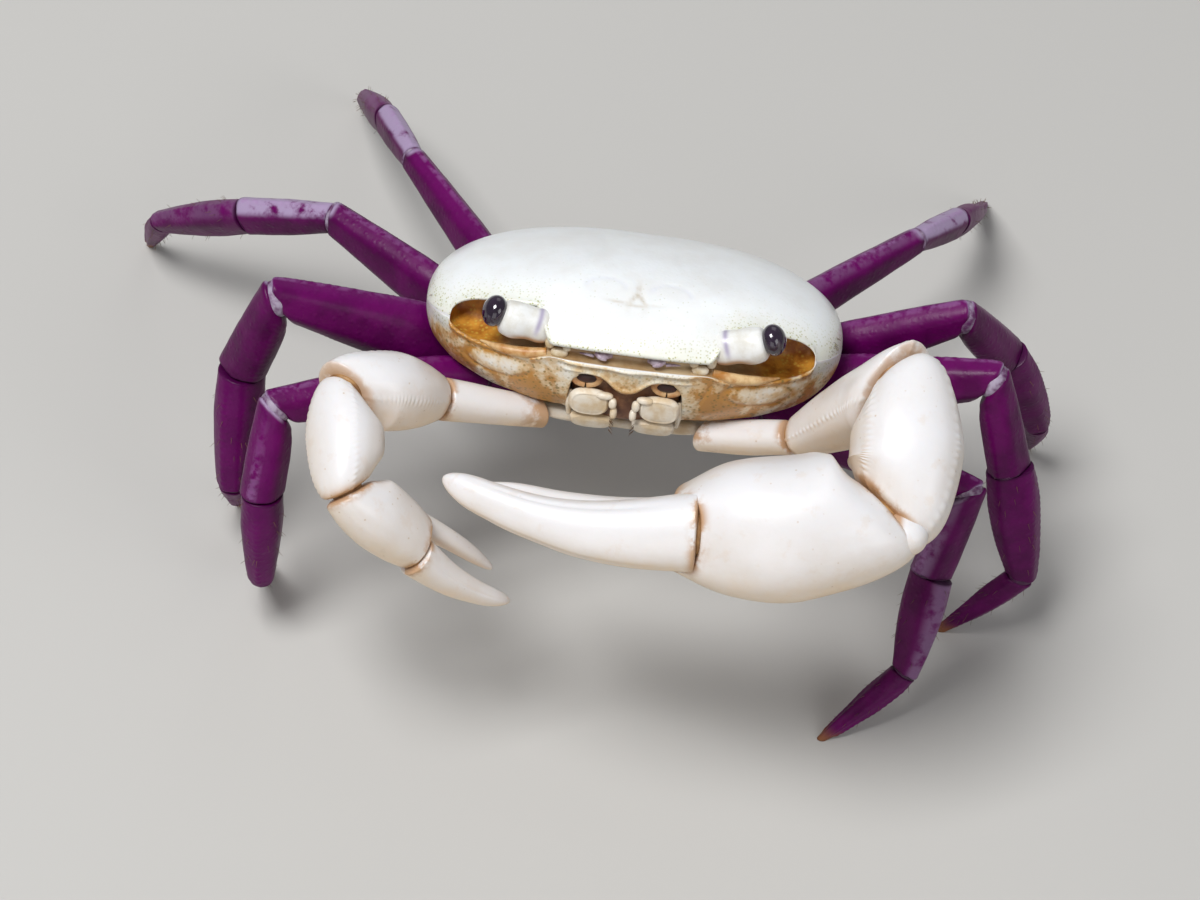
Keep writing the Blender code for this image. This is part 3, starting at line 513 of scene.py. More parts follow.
def wall(sign, y, z):
    """A point JOINT_GAP off the breastplate's side, and the way the side faces there."""
    table = np.array(STERNUM)
    half = np.interp(y, table[:, 0], table[:, 1])
    ahead = np.interp(y + 0.01, table[:, 0], table[:, 1])
    normal = unit(np.array([1.0, (half - ahead) / 0.01, 0.0]))
    x, out_y = np.array([half, y]) + JOINT_GAP * normal[:2]
    return body_to_floor((sign * x, out_y, z)), floor_way((sign * normal[0], normal[1], 0.0))


def leg_joints(name):
    """The six joint points of a walking leg, from breastplate to floor, and its first cut."""
    sign = 1 if name.endswith("_l") else -1
    pair = name[:4]
    x, y, z = HIPS[pair]
    root, facing = wall(sign, ROOT_SHARE * y, 0.5 * (z + ROOT_HEIGHT))
    points = [root, body_to_floor((sign * x, y, z))]
    pose = LEG_POSE[name]
    for length, (bearing, rise) in zip(LEG_LENGTHS[pair][:3], pose[:3]):
        points.append(points[-1] + length * direction(sign, bearing, rise))
    drop = -math.degrees(math.asin(min(0.999, points[-1][2] / LEG_LENGTHS[pair][3])))
    points.append(points[-1] + LEG_LENGTHS[pair][3] * direction(sign, pose[3], drop))
    return points, facing


def claw_joints(name):
    """The six joint points of a claw arm, from breastplate to fingertip, and its first cut."""
    sign = 1 if name.endswith("_l") else -1
    start, *steps = CLAW_POSE[name]
    root, facing = wall(sign, *CLAW_ROOT[name])
    points = [root, body_to_floor(start)]
    for length, bearing, rise in steps:
        points.append(points[-1] + length * direction(sign, bearing, rise))
    return points, facing


def limb_cuts(axes, first, last):
    """The cuts at the two ends of each segment, halfway between two axes at each joint."""
    normals = [first] + [unit(a + b) for a, b in zip(axes[:-1], axes[1:])] + [last]
    return list(zip(normals[:-1], normals[1:]))


def end_cap():
    """A rounded end: the ring at angle t lies 1 - (cos t)^p behind it and is (sin t)^p as large."""
    turn = (np.arange(END_RINGS) + 0.5) / END_RINGS * math.pi / 2
    return 1 - np.cos(turn) ** END_POWER, np.sin(turn) ** END_POWER


def segment(start, end, up, stations, scale=1.0, planes=(None, None), gaps=(0.0, 0.0),
            bend=(0.0, 0.0), rows=70, columns=64, power=2.3, caps=(0.4, 0.4), relief=None):
    """One limb segment as a grid of rings, with its fields.

    Rings are ovals |h|^power + |s|^power = 1 scaled by the eased stations. The end rings lean into
    the plane of their joint. Within the cap at each end the rings shrink to a point, as end_cap
    says; a cap of 0 leaves a flat end. relief(part, angle) gives how far each point stands out.
    """
    axis, height, side = segment_axes(start, end, up)
    length = float(np.linalg.norm(end - start))
    on_floor = planes[1] is UP
    first = plane_slopes(axis, planes[0], height, side)
    last = plane_slopes(axis, planes[1], height, side, FLOOR_CUT if on_floor else STEEPEST_CUT)
    behind, share = end_cap()
    low, high = gaps[0] + caps[0], length - gaps[1] - caps[1]
    body = np.linspace(low, high, rows)
    run = np.concatenate([gaps[0] + caps[0] * behind, body])
    close = np.concatenate([share, np.ones(rows)])
    if caps[1]:
        run = np.concatenate([run, length - gaps[1] - caps[1] * behind[::-1]])
        close = np.concatenate([close, share[::-1]])
    part = np.clip((run - gaps[0]) / (length - gaps[0] - gaps[1]), 0.0, 1.0)
    above, below, half = (value * scale for value in along(stations, part))
    angle = turns(columns)
    reach_h, reach_s = squared(angle, power)
    h = np.where(reach_h > 0, above[:, None], below[:, None]) * reach_h * close[:, None]
    s = half[:, None] * reach_s * close[:, None]
    tilt_in = (1 - ease(0.0, 0.45, part))[:, None]
    tilt_out = ease(0.55, 1.0, part)[:, None]
    lean = tilt_in * (first[0] * h + first[1] * s) + tilt_out * (last[0] * h + last[1] * s)
    wave = np.sin(math.pi * part)[:, None]
    grid = (start + (run[:, None] + lean)[..., None] * axis
            + (h + bend[0] * wave)[..., None] * height + (s + bend[1] * wave)[..., None] * side)
    if relief is not None:
        amount = relief(part[:, None], angle[None, :]) * ease(0.3, 0.9, close)[:, None]
        amount = amount * (1 - on_floor * ease(0.9, 0.98, part))[:, None]
        grid = grid + outward_normals(grid) * amount[..., None]
    to_start, to_end = np.maximum(run - gaps[0], 0.0), np.maximum(length - gaps[1] - run, 0.0)
    spread = np.ones(grid.shape[:2])
    fields = {
        "along": part[:, None] * spread,
        "crest": np.cos(angle)[None, :] * spread,
        "flank": np.sin(angle)[None, :] * spread,
        "joint_in": np.exp(-to_start / JOINT_FADE)[:, None] * spread,
        "joint_out": np.exp(-to_end / JOINT_FADE)[:, None] * spread * (not on_floor),
    }
    return grid, fields


def ellipsoid(centre, axes, radii, rows, columns, power=2.0):
    """A closed oval body: the ring at polar angle t lies cos t along the first axis and is sin t
    wide, with each coordinate pushed outwards."""
    polar = (np.arange(rows) + 0.5) / rows * math.pi
    angle = turns(columns)
    shaped = (np.cos(polar)[:, None] + 0 * angle, np.sin(polar)[:, None] * np.cos(angle),
              np.sin(polar)[:, None] * np.sin(angle))
    out = np.zeros((rows, columns, 3)) + np.asarray(centre)
    for value, axis, radius in zip(shaped, axes, radii):
        out = out + pushed(value, power)[..., None] * np.asarray(axis) * radius
    return out


def rod(points, radii, columns=14):
    """A round rod through points: rings square to a smooth run between them, radii interpolated."""
    path = spline(points, 12 * len(points))
    thick = np.interp(np.linspace(0, 1, len(path)), np.linspace(0, 1, len(radii)), radii)
    way = unit_rows(np.gradient(path, axis=0))
    side = unit_rows(np.cross(way, NEVER_ALONG))
    other = np.cross(way, side)
    angle = turns(columns)
    ring = np.cos(angle)[:, None] * side[:, None] + np.sin(angle)[:, None] * other[:, None]
    return path[:, None] + thick[:, None, None] * ring


# Materials

class Nodes:
    """Makes nodes in one node tree. Each input is given a socket, a colour or a number."""

    def __init__(self, tree):
        self.tree = tree

    def add(self, kind, inputs, **settings):
        """Make a shader node with these inputs and settings."""
        node = self.tree.nodes.new("ShaderNode" + kind)
        for key, value in settings.items():
            setattr(node, key, value)
        for key, value in inputs.items():
            if isinstance(value, bpy.types.NodeSocket):
                self.tree.links.new(value, node.inputs[key])
            elif isinstance(value, tuple):
                node.inputs[key].default_value = (*value, 1.0)
            else:
                node.inputs[key].default_value = value
        return node

    def maths(self, operation, first, second):
        """A Math node on two values."""
        return self.add("Math", {0: first, 1: second}, operation=operation).outputs["Value"]

    def times(self, *values):
        """The product of several values."""
        return functools.reduce(functools.partial(self.maths, "MULTIPLY"), values)

    def ease(self, value, low, high, to_low=0.0, to_high=1.0):
        """Ease a value from one range to another."""
        inputs = {"Value": value, "From Min": low, "From Max": high, "To Min": to_low,
                  "To Max": to_high}
        return self.add("MapRange", inputs, interpolation_type="SMOOTHSTEP").outputs["Result"]

    def mix(self, factor, first, second):
        """Mix two colours by a factor."""
        return self.add("Mix", {0: factor, 6: first, 7: second}, data_type="RGBA").outputs[2]


def effect(name, build, numbers):
    """A shader node group of one Vector and some named numbers; build returns its result."""
    group = bpy.data.node_groups.new(name, "ShaderNodeTree")
    group.interface.new_socket("Vector", in_out="INPUT", socket_type="NodeSocketVector")
    for label, value in numbers.items():
        socket = group.interface.new_socket(label, in_out="INPUT", socket_type="NodeSocketFloat")
        socket.default_value = value
    group.interface.new_socket("Result", in_out="OUTPUT", socket_type="NodeSocketFloat")
    given = group.nodes.new("NodeGroupInput").outputs
    outlet = group.nodes.new("NodeGroupOutput")
    place = {"Vector": given["Vector"], "Scale": given["Scale"]}
    group.links.new(build(Nodes(group), place, given), outlet.inputs["Result"])
    return group


def cloud_mask(nodes, place, given):
    """Soft clouds, 0 below Low and 1 above High."""
    clouds = nodes.add("TexNoise", {**place, "Detail": 5.0, "Roughness": 0.6})
    return nodes.ease(clouds.outputs["Fac"], given["Low"], given["High"])


def speck_mask(nodes, place, given):
    """Small round specks, 1 within Inner of their middles and 0 beyond Outer."""
    cells = nodes.add("TexVoronoi", place)
    return nodes.ease(cells.outputs["Distance"], given["Outer"], given["Inner"])


def grain_height(nodes, place, given):
    """A fine grain whose small pits or beads stand at Beads times its height."""
    grain = nodes.add("TexNoise", {**place, "Detail": 4.0})
    cells = nodes.add("TexVoronoi", place)
    beads = nodes.times(nodes.ease(cells.outputs["Distance"], 0.45, 0.1), given["Beads"])
    return nodes.maths("ADD", grain.outputs["Fac"], beads)


class Paint(Nodes):
    """A material in the making: its shader, its nodes and the colour laid on so far."""

    # The shared node groups by name, which main makes once
    effects = {}

    def __init__(self, name, roughness, coat=0.0, coat_roughness=0.18, subsurface=0.0):
        self.material = bpy.data.materials.new(name)
        self.material.use_nodes = True
        super().__init__(self.material.node_tree)
        self.shader = self.tree.nodes["Principled BSDF"].inputs
        looks = {"Roughness": roughness, "Coat Weight": coat, "Coat Roughness": coat_roughness}
        if subsurface:
            looks |= {"Subsurface Weight": subsurface, "Subsurface Radius": (1.0, 0.7, 0.5),
                      "Subsurface Scale": 0.0006}
        for key, value in looks.items():
            self.shader[key].default_value = value
        self.place = self.add("TexCoord", {}).outputs["Object"]
        self.colour = None

    def use(self, name, **numbers):
        """What a shared effect gives at each place of the piece."""
        inputs = {"Vector": self.place, **numbers}
        return self.add("Group", inputs, node_tree=self.effects[name]).outputs[0]

    def clouds(self, scale, low, high):
        """Soft clouds, 0 below low and 1 above high."""
        return self.use("soft_clouds", Scale=scale, Low=low, High=high)

    def specks(self, scale, inner, outer):
        """Small round specks, 1 within inner of their middles and 0 beyond outer."""
        return self.use("small_specks", Scale=scale, Inner=inner, Outer=outer)

    def field(self, name):
        """A value stored on the piece's points."""
        return self.add("Attribute", {}, attribute_name=name).outputs["Fac"]

    def lay(self, colour, *amounts):
        """Lay a colour over what is there, by the product of amounts."""
        self.colour = self.mix(self.times(*amounts), self.colour, colour)

    def finish(self, height, strength, distance=0.00005):
        """Feed the colour and the bump height to the shader."""
        bump = self.add("Bump", {"Strength": strength, "Distance": distance, "Height": height})
        self.tree.links.new(self.colour, self.shader["Base Color"])
        self.tree.links.new(bump.outputs["Normal"], self.shader["Normal"])
        return self.material


def shell_material():
    """White carapace: greenish pits at the brow, ochre cheeks, orange orbits, brown mouth."""
    paint = Paint("carapace_shell", 0.34, 0.25, subsurface=0.12)
    clouds, specks, field = paint.clouds, paint.specks, paint.field
    paint.colour = paint.mix(clouds(260, 0.35, 0.7), (0.86, 0.89, 0.91), (0.80, 0.81, 0.81))
    # Greenish pits along the margin, and faint ones behind the brow
    paint.lay((0.76, 0.76, 0.60), field("margin"), 0.55)
    paint.lay((0.36, 0.34, 0.06), specks(4800, 0.14, 0.40), field("margin"),
              clouds(700, 0.34, 0.52), 0.85)
    paint.lay((0.42, 0.42, 0.20), specks(2300, 0.06, 0.2), field("fore"), 0.3)
    # Brown in the groove, and the bluish rings beside it
    paint.lay((0.50, 0.42, 0.30), field("groove"),
              paint.ease(clouds(1500, 0.3, 0.7), 0, 1, 0.35, 0.9))
    paint.lay((0.62, 0.64, 0.80), field("wings"), 0.2)
    # Ochre and rust on the cheeks, with dark specks
    patchy = clouds(330, 0.34, 0.62)
    stain = paint.times(field("cheek"), paint.ease(patchy, 0, 1, 0.6, 1.3),
                        paint.ease(clouds(1300, 0.36, 0.64), 0, 1, 0.72, 1.25))
    paint.lay((0.69, 0.47, 0.18), paint.ease(stain, 0.0, 0.6, 0.0, 0.75))
    paint.lay((0.47, 0.21, 0.028), paint.ease(stain, 0.38, 1.0, 0.0, 0.95))
    paint.lay((0.24, 0.15, 0.025), specks(3200, 0.14, 0.38), field("cheek"), 0.9)
    paint.lay((0.17, 0.12, 0.02), specks(1500, 0.1, 0.26), paint.ease(field("cheek"), 0.5, 0.9),
              0.85)
    # The hollow is orange in the orbit and cream under the brow
    orange = paint.mix(clouds(1100, 0.36, 0.64), (0.62, 0.29, 0.04), (0.38, 0.13, 0.015))
    orange = paint.mix(paint.times(specks(3000, 0.12, 0.4), 0.6), orange, (0.62, 0.48, 0.09))
    cream = paint.mix(patchy, (0.60, 0.46, 0.28), (0.38, 0.22, 0.09))
    paint.lay(paint.mix(field("orbit"), cream, orange), field("recess"))
    # Red-brown under the brow's overhang, darkened by painted shade
    paint.lay((0.17, 0.075, 0.03), field("slot"), 0.85)
    paint.lay((0.15, 0.055, 0.022), field("mouth"))
    return paint.finish(paint.use("fine_grain", Scale=2600, Beads=-0.5), 0.22, 0.00004)


def claw_material():
    """Ivory claw shell: painted bluish sky sheen on upward faces, painted orange bounce light on
    downward faces, ochre stains at the joints, fine specks.
    """
    paint = Paint("claw_shell", 0.36, 0.25, subsurface=0.12)
    soft = paint.clouds(230, 0.35, 0.7)
    paint.colour = paint.mix(soft, (0.78, 0.74, 0.72), (0.73, 0.67, 0.62))
    # Painted sky sheen: a bluish tint on the faces that point up
    paint.lay((0.78, 0.79, 0.83), paint.field("cool"))
    # Painted bounce light: an orange tint on the faces that point down
    paint.lay((0.88, 0.66, 0.42), paint.field("warm"), paint.ease(soft, 0, 1, 0.65, 1.0))
    paint.lay((0.62, 0.42, 0.24), paint.clouds(750, 0.56, 0.68), 0.14)
    stain = paint.times(paint.field("stain"), paint.clouds(640, 0.25, 0.58))
    paint.lay((0.46, 0.23, 0.07), paint.ease(stain, 0.18, 0.75, 0.0, 0.8))
    paint.lay((0.47, 0.30, 0.14), paint.specks(1500, 0.05, 0.14), paint.ease(soft, 0.3, 0.8), 0.5)
    return paint.finish(paint.use("fine_grain", Scale=1900, Beads=-0.25), 0.24)


def leg_material():
    """Deep purple, finely beaded leg shell, a little lilac at the joints, painted light on the
    tops.
    """
    paint = Paint("leg_shell", 0.40, 0.06)
    paint.shader["Specular IOR Level"].default_value = 0.14
    paint.colour = paint.mix(paint.clouds(420, 0.33, 0.68), (0.066, 0.0003, 0.050),
                             (0.108, 0.0006, 0.082))
    # Painted light: the top of each segment is a lighter purple, where the light from above falls
    paint.lay((0.16, 0.002, 0.13), paint.ease(paint.field("crest"), 0.3, 1.0), 0.35)
    paint.lay((0.17, 0.02, 0.16), paint.specks(2100, 0.1, 0.34), 0.08)
    # Lilac patches at the knees, and a painted lilac sheen along the tops where they reflect the
    # light from above
    pale = paint.times(paint.field("pale"), paint.clouds(800, 0.22, 0.55))
    paint.lay((0.42, 0.33, 0.50), paint.ease(pale, 0.1, 0.85, 0.0, 0.85))
    # Painted highlight: a thin lilac line along the top crest of merus and carpus
    paint.lay((0.36, 0.18, 0.40), paint.field("line"), paint.clouds(1600, 0.4, 0.6), 0.4)
    paint.lay((0.022, 0.001, 0.020), paint.field("seam"))
    paint.lay((0.28, 0.12, 0.035), paint.field("horn"))
    return paint.finish(paint.use("fine_grain", Scale=2300, Beads=0.6), 0.40, 0.00006)


def stalk_material():
    """White eyestalk with painted lilac-grey shade at its collar near the root and an orange-brown
    line below.
    """
    paint = Paint("stalk_shell", 0.34, 0.25)
    paint.colour = paint.mix(paint.clouds(900, 0.35, 0.66), (0.84, 0.85, 0.84), (0.72, 0.70, 0.64))
    # Painted shade round the stalk's collar, where its two segments meet
    paint.lay((0.40, 0.36, 0.48), paint.field("band"))
    paint.lay((0.45, 0.20, 0.05), paint.field("below"), 0.85)
    return paint.finish(paint.use("fine_grain", Scale=2400, Beads=-0.2), 0.16)


def plain_material(name, light, dark, roughness, scale=900, coat=0.0):
    """A two-tone mottled finish."""
    paint = Paint(name, roughness, coat)
    paint.colour = paint.mix(paint.clouds(scale, 0.35, 0.66), light, dark)
    return paint.finish(paint.use("fine_grain", Scale=scale * 2, Beads=0.2), 0.3)


def cornea_material():
    """Glossy near-black eye with a purple cast and very fine facets."""
    paint = Paint("eye_shell", 0.12, 1.0, 0.04)
    paint.colour = paint.mix(paint.clouds(1200, 0.3, 0.7), (0.010, 0.004, 0.012),
                             (0.026, 0.011, 0.032))
    return paint.finish(paint.specks(9000, 0.1, 0.5), 0.12, 0.00002)


# Shell

def shell_places(count):
    """Places across the shell, closer together at the rims of the front, orbits and mouth."""
    fine = np.linspace(-math.pi / 2, math.pi / 2, 6001)
    x = np.abs(HALF_WIDTH * np.sin(fine))
    density = 1 + 2.6 * hump(x, 5.5, 0.7) + 2.6 * hump(x, 11.4, 0.5) + 1.6 * hump(x, 3.6, 0.25)
    total = np.concatenate([[0], np.cumsum((density[1:] + density[:-1]) / 2)])
    spots = (np.arange(count) + 0.5) / count * total[-1]
    return HALF_WIDTH * np.sin(np.interp(spots, total, fine))


def shell_growth(a):
    """How large the ring at distance a from the midline is: (1 - |a / half width|^p)^(1 / p)."""
    return np.maximum(1.0 - (a / HALF_WIDTH) ** OUTLINE_POWER, 0.0) ** (1.0 / OUTLINE_POWER)


def shell_form(x):
    """The shell's rings before their relief, the height of the mouth's upper edge over each x, and
    how far each point of the face lies in the mouth.

    Each ring lies at one place x across the body. It is the midline profile, shrunk about the pole
    by shell_growth. Between the upper and the lower rim the ring follows the straight line between
    them, pushed back by the depth of the orbit or of the slot under the brow. Over the mouth it
    steps back from the face to the mouth's rear wall.
    """
    a = np.abs(x)
    grow = shell_growth(a)
    whole = spline(BACK_LINE + FACE_LINE, PROFILE_POINTS)
    number = np.arange(PROFILE_POINTS)
    half = PROFILE_POINTS // 2
    brow_drop = 1 - ease(FRONT_HALF_WIDTH - 0.1, FRONT_HALF_WIDTH + 1.3, a)
    t = np.clip((a - ORBIT_MIDDLE) / (ORBIT_OUTER - ORBIT_MIDDLE), 0.0, 1.0)
    oval = np.maximum((1 - t**ORBIT_POWER) ** (1 / ORBIT_POWER), 0.08)
    upper_z = 1.0 * brow_drop + (1.0 + 1.9 * oval) * (1 - brow_drop)
    lower_z = -0.1 * brow_drop + (1.0 - 1.6 * oval) * (1 - brow_drop)
    mouth_z = MOUTH_TOP_Z - TOOTH_DROP * np.exp(-np.abs(x / TOOTH_WIDTH) ** 2.6)
    upper, lower, edge = (np.interp(-z, -whole[half:, 1], number[half:])
                          for z in (upper_z, lower_z, mouth_z))

    def at(place):
        """The profile's points at fractional places along it."""
        return np.stack([np.interp(place, number, column) for column in whole.T], axis=-1)

    walk = np.linspace(0, 1, ON_BACK)
    back = at((0.75 * walk + 0.25 * np.sin(walk * math.pi / 2))[None, :] * upper[:, None])
    depth = ORBIT_DEPTH * np.sqrt(ease(ORBIT_INNER - 0.3, ORBIT_INNER + 0.9, a) * (oval - 0.08))
    depth = np.maximum(depth, FRONT_RECESS * brow_drop)
    s = 0.5 - 0.5 * np.cos(np.linspace(0, math.pi, ON_RECESS + 1))[1:]
    recess = back[:, -1:] + (at(lower) - back[:, -1])[:, None] * s[None, :, None]
    hollow = (1 - np.abs(2 * s - 1) ** 3.2) ** (1 / 2.2)
    recess[..., 0] += depth[:, None] * hollow[None, :] / np.maximum(grow, 0.2)[:, None]
    down = np.linspace(0, 1, ON_PLATE + 1)[None, 1:]
    plate_run = at(lower[:, None] + down * (edge - lower)[:, None])
    beyond = np.concatenate([np.linspace(0.002, 0.03, ON_ROOF),
                             0.03 + 0.97 * np.linspace(0, 1, ON_LOW + 1)[1:]])
    low = at(edge[:, None] + beyond[None, :] * (PROFILE_POINTS - 1 - edge)[:, None])
    # The mouth's opening has rounded upper corners
    half_open = MOUTH_HALF_WIDTH - 1.1 * np.exp(-(mouth_z[:, None] - low[..., 1]) / 0.5)
    mouth = 1 - ease(half_open - 0.2, half_open, a[:, None])
    roof = np.concatenate([np.linspace(0.08, 1.0, ON_ROOF), np.ones(ON_LOW)])[None, :]
    low[..., 0] += (np.maximum(low[..., 0], MOUTH_WALL_Y) - low[..., 0]) * mouth * roof
    under = np.broadcast_to(spline(UNDER_LINE, ON_UNDER), (len(x), ON_UNDER, 2)).copy()
    in_mouth = a[:, None] < MOUTH_HALF_WIDTH
    under[..., 0] = np.where(in_mouth, np.maximum(under[..., 0], MOUTH_WALL_Y), under[..., 0])
    ring = np.concatenate([back, recess, plate_run, low, under], axis=1)
    ring = (ring - POLE) * grow[:, None, None]
    # Behind the face the underside stays flatter than the shrunk profile
    rear = ease(-4.0, -1.0, under[..., 0])
    lifted = under[..., 1] * np.maximum(1 - (a / HALF_WIDTH) ** 2, 0.0)[:, None] ** 0.8
    floor = ring[:, -ON_UNDER:, 1]
    ring[:, -ON_UNDER:, 1] = (1 - rear) * floor + rear * np.maximum(floor, lifted)
    ring = ring + POLE
    across = np.broadcast_to(x[:, None, None], (*ring.shape[:2], 1))
    return np.concatenate([across, ring], axis=-1), mouth_z, mouth * np.minimum(roof * 2, 1)


def build_shell(material):
    """The whole shell of the body as one closed skin, with the relief, stains and painted shade of
    its parts.
    """
    x = shell_places(SHELL_RINGS)
    grid, mouth_z, hole = shell_form(x)
    a = np.abs(x)[:, None]
    gx, gy, gz = grid[..., 0], grid[..., 1], grid[..., 2]
    wide = np.abs(gx)
    # Distances from the two rims, and which points lie on the back, in the recess and on the face
    step = np.linalg.norm(np.diff(grid[..., 1:], axis=1), axis=-1)
    run = np.concatenate([np.zeros((len(x), 1)), np.cumsum(step, axis=1)], axis=1)
    to_upper = np.abs(run - run[:, ON_BACK - 1:ON_BACK])
    to_lower = np.abs(run - run[:, FACE_START - 1:FACE_START])
    column = np.arange(grid.shape[1])[None, :]
    on_back = (column < ON_BACK) * 1.0
    on_recess = ((column >= ON_BACK) & (column < FACE_START)) * 1.0
    on_face = ((column >= FACE_START) & (column < FACE_END)) * 1.0
    in_hole = np.zeros(grid.shape[:2])
    in_hole[:, PLATE_END:FACE_END] = hole
    skin = on_face * (1 - in_hole)
    orbit = ease(5.1, 5.9, a) * (1 - ease(ORBIT_OUTER - 0.25, ORBIT_OUTER + 0.1, a))
    lips = 0.08 * hump(to_upper, 0.0, 0.28) * (1 - ease(11.5, 12.0, a))
    lips += 0.07 * hump(to_lower, 0.05, 0.22) * orbit * (1 + 0.35 * np.sin(gx * 14.0))
    # The groove down the middle that forks at the front, and those round the region behind the brow
    fork = hump(wide - 0.55 * ease(-4.4, -5.6, gy), 0.0, 0.16) * hump(gy, -4.6, 0.9)
    lobes = hump(gy, -5.35 + 0.12 * (wide - 1.3), 0.1) * ease(2.6, 1.2, wide)
    sides = hump(wide, 2.3 + 0.25 * (gy - 1.0) ** 2 / 4, 0.35) * hump(gy, 1.2, 2.3)
    groove = on_back * (0.9 * fork + 0.55 * lobes)
    wings = hump(np.hypot((wide - 2.1) / 1.25, (gy + 4.2) / 0.75), 1.0, 0.16)
    wings = on_back * wings * ease(-4.6, -4.1, gy)
    # Across the plate over the mouth run a ridge and a groove; its middle stands out as a tooth
    plate = skin * ease(4.6, 3.6, wide)
    ridge = (0.17 * hump(gz, -0.22, 0.12) - 0.2 * hump(gz, -0.5, 0.13)
             + 0.12 * hump(mouth_z[:, None] + 0.12, gz, 0.14))
    bulge = hump(wide, 8.4, 1.9) * skin * hump(to_lower, 1.35, 0.9)
    # A furrow sets off the pale bulge of each cheek, and another its inner part beside the mouth
    furrow = skin * (hump(np.hypot((wide - 8.3) / 2.2, (gz + 1.6) / 0.85), 1.0, 0.13)
                     + 0.8 * hump(wide - 0.35 * (gz + 2.0), 4.9, 0.12) * ease(-0.6, -1.1, gz))
    relief = (lips - 0.07 * furrow - 0.08 * groove - 0.05 * on_back * sides - 0.03 * wings
              + 0.05 * on_back * ripples(grid, 9.0, 3) + 0.03 * skin * ripples(grid, 3.0, 5)
              + plate * (ridge + 0.12 * hump(gx, 0.0, 0.8)) + 0.16 * bulge)
    relief = relief * np.minimum(shell_growth(a) * 3, 1)

    cheek = skin * (0.5 + 0.35 * ease(9.0, 5.0, wide) + 0.35 * ease(0.4, 2.2, to_lower))
    cheek = cheek * (1 - 0.6 * bulge) * (1 - 0.55 * ease(5.4, 3.6, wide))
    clear = np.maximum(ease(0.0, 1.6, to_lower), ease(6.0, 5.0, wide))
    cheek = cheek * (orbit + (1 - orbit) * clear)
    cheek = cheek + skin * orbit * 0.6 * hump(to_lower, 0.1, 0.3) + 0.35 * furrow
    cheek = cheek + 0.9 * on_recess * orbit * ease(0.4, 0.0, to_lower)
    past_lip = on_recess * ease(0.0, 0.2, to_upper)
    fields = {
        "margin": np.clip(on_back * np.exp(-(to_upper / 1.05) ** 1.3) + 0.5 * plate
                          + 0.9 * on_back * ease(11.2, 12.8, wide) * ease(3.0, 0.0, gz)
                          + 0.8 * skin * (1 - orbit) * ease(8.0, 10.0, wide), 0, 1),
        "fore": on_back * ease(0.5, -5.5, gy),
        "groove": groove,
        "wings": wings,
        "cheek": np.clip(cheek, 0, 1),
        "recess": on_recess * ease(0.0, 0.3, to_upper) * ease(0.0, 0.12, to_lower),
        "orbit": on_recess * ease(7.2, 8.8, wide + 0.8 * ease(0.9, 0.2, to_upper)),
        # slot is the red-brown band under the brow, darkened by painted shade from its overhang
        "slot": past_lip * ease(0.75, 0.3, to_upper) * ease(6.5, 5.0, wide),
        "mouth": in_hole,
    }
    grid = grid + outward_normals(grid) * relief[..., None]
    dress("carapace", placed([(grid, fields)]), material)


def build_shell_hairs(material):
    """A few short brown hairs at the shell's sides, where they catch the mud."""
    draw = np.random.default_rng(4)
    count = 46
    sign = np.where(draw.uniform(size=count) < 0.5, -1.0, 1.0)
    x = draw.uniform(12.0, 13.1, count)
    grow = shell_growth(x)
    turn = draw.uniform(2.2, 3.0, count)
    roots = np.stack([sign * x, 6.4 * grow * np.cos(turn), 0.4 + 2.6 * grow * np.sin(turn)],
                     axis=-1)
    forward = -0.3 - 0.15 * draw.uniform(size=count)
    ways = np.stack([sign * 0.25, forward, 0.25 * draw.uniform(size=count)], axis=-1)
    add_hairs("shell_hairs", body_to_floor(roots), floor_way(ways), 0.3, 0.02, material)


def build_eyes(stalk, cornea, pad_material):
    """Each eyestalk swells out of the orbit's inner corner and carries the eye on its end."""
    up = floor_way((0, 0, 1))
    for side, sign in SIDES:
        root_z, tip_z = STALK_HEIGHTS[side]
        start = body_to_floor((sign * STALK_START[0], STALK_START[1], root_z))
        tip = body_to_floor((sign * STALK_END[0], STALK_END[1], tip_z))
        grid, fields = segment(start, tip, up, STALK_SKIN, caps=(0.5, 0.45), rows=60, power=2.05)
        # Painted shade: a lilac-grey ring round the stalk at its collar, a third of the way out
        fields["band"] = hump(fields["along"], 0.33, 0.05) * ease(-0.6, 0.3, fields["crest"])
        fields["below"] = hump(fields["crest"], -0.75, 0.25) * ease(0.9, 0.5, fields["along"])
        dress(f"eyestalk_{side}", [(grid, fields)], stalk)
        pad = rod(mirrored(sign, ORBIT_PAD[0]), ORBIT_PAD[1], 24)
        add_piece(f"orbit_pad_{side}", placed([(pad, {})]), pad_material)
        axes = segment_axes(start, tip, up)
        centre = tip + axes[0] * 0.42 + axes[1] * 0.1
        grid = ellipsoid(centre, axes, CORNEA_RADII, 60, 72)
        dress(f"cornea_{side}", [(grid, {})], cornea)


# Legs and claws

def joint_knot(place, axes, up, radii):
    """The soft skin in a joint: an oval body that lies halfway between the two segments' axes."""
    middle = segment_axes(np.zeros(3), unit(axes[0] + axes[1]), up)
    return ellipsoid(place, middle, radii, 24, 36), {}


def leg_relief(part_name, size):
    """The raised edges of one leg segment: a finely toothed crest, a keel and low ridges."""
    teeth = LEG_TEETH.get(part_name, 0)

    def relief(part, angle):
        turn = np.minimum(angle, 2 * math.pi - angle)
        saw = 0.6 + 0.4 * np.abs(np.sin(math.pi * teeth * part)) if teeth else 0.6
        crest = 0.11 * hump(turn, 0.0, 0.15) * saw * ease(0.02, 0.15, part) * ease(1.0, 0.9, part)
        keel = 0.06 * hump(turn, math.pi, 0.2) * saw
        ridges = 0.03 * np.cos(6 * turn) * ease(0.1, 0.3, part)
        return size * (crest + keel + ridges)

    return relief


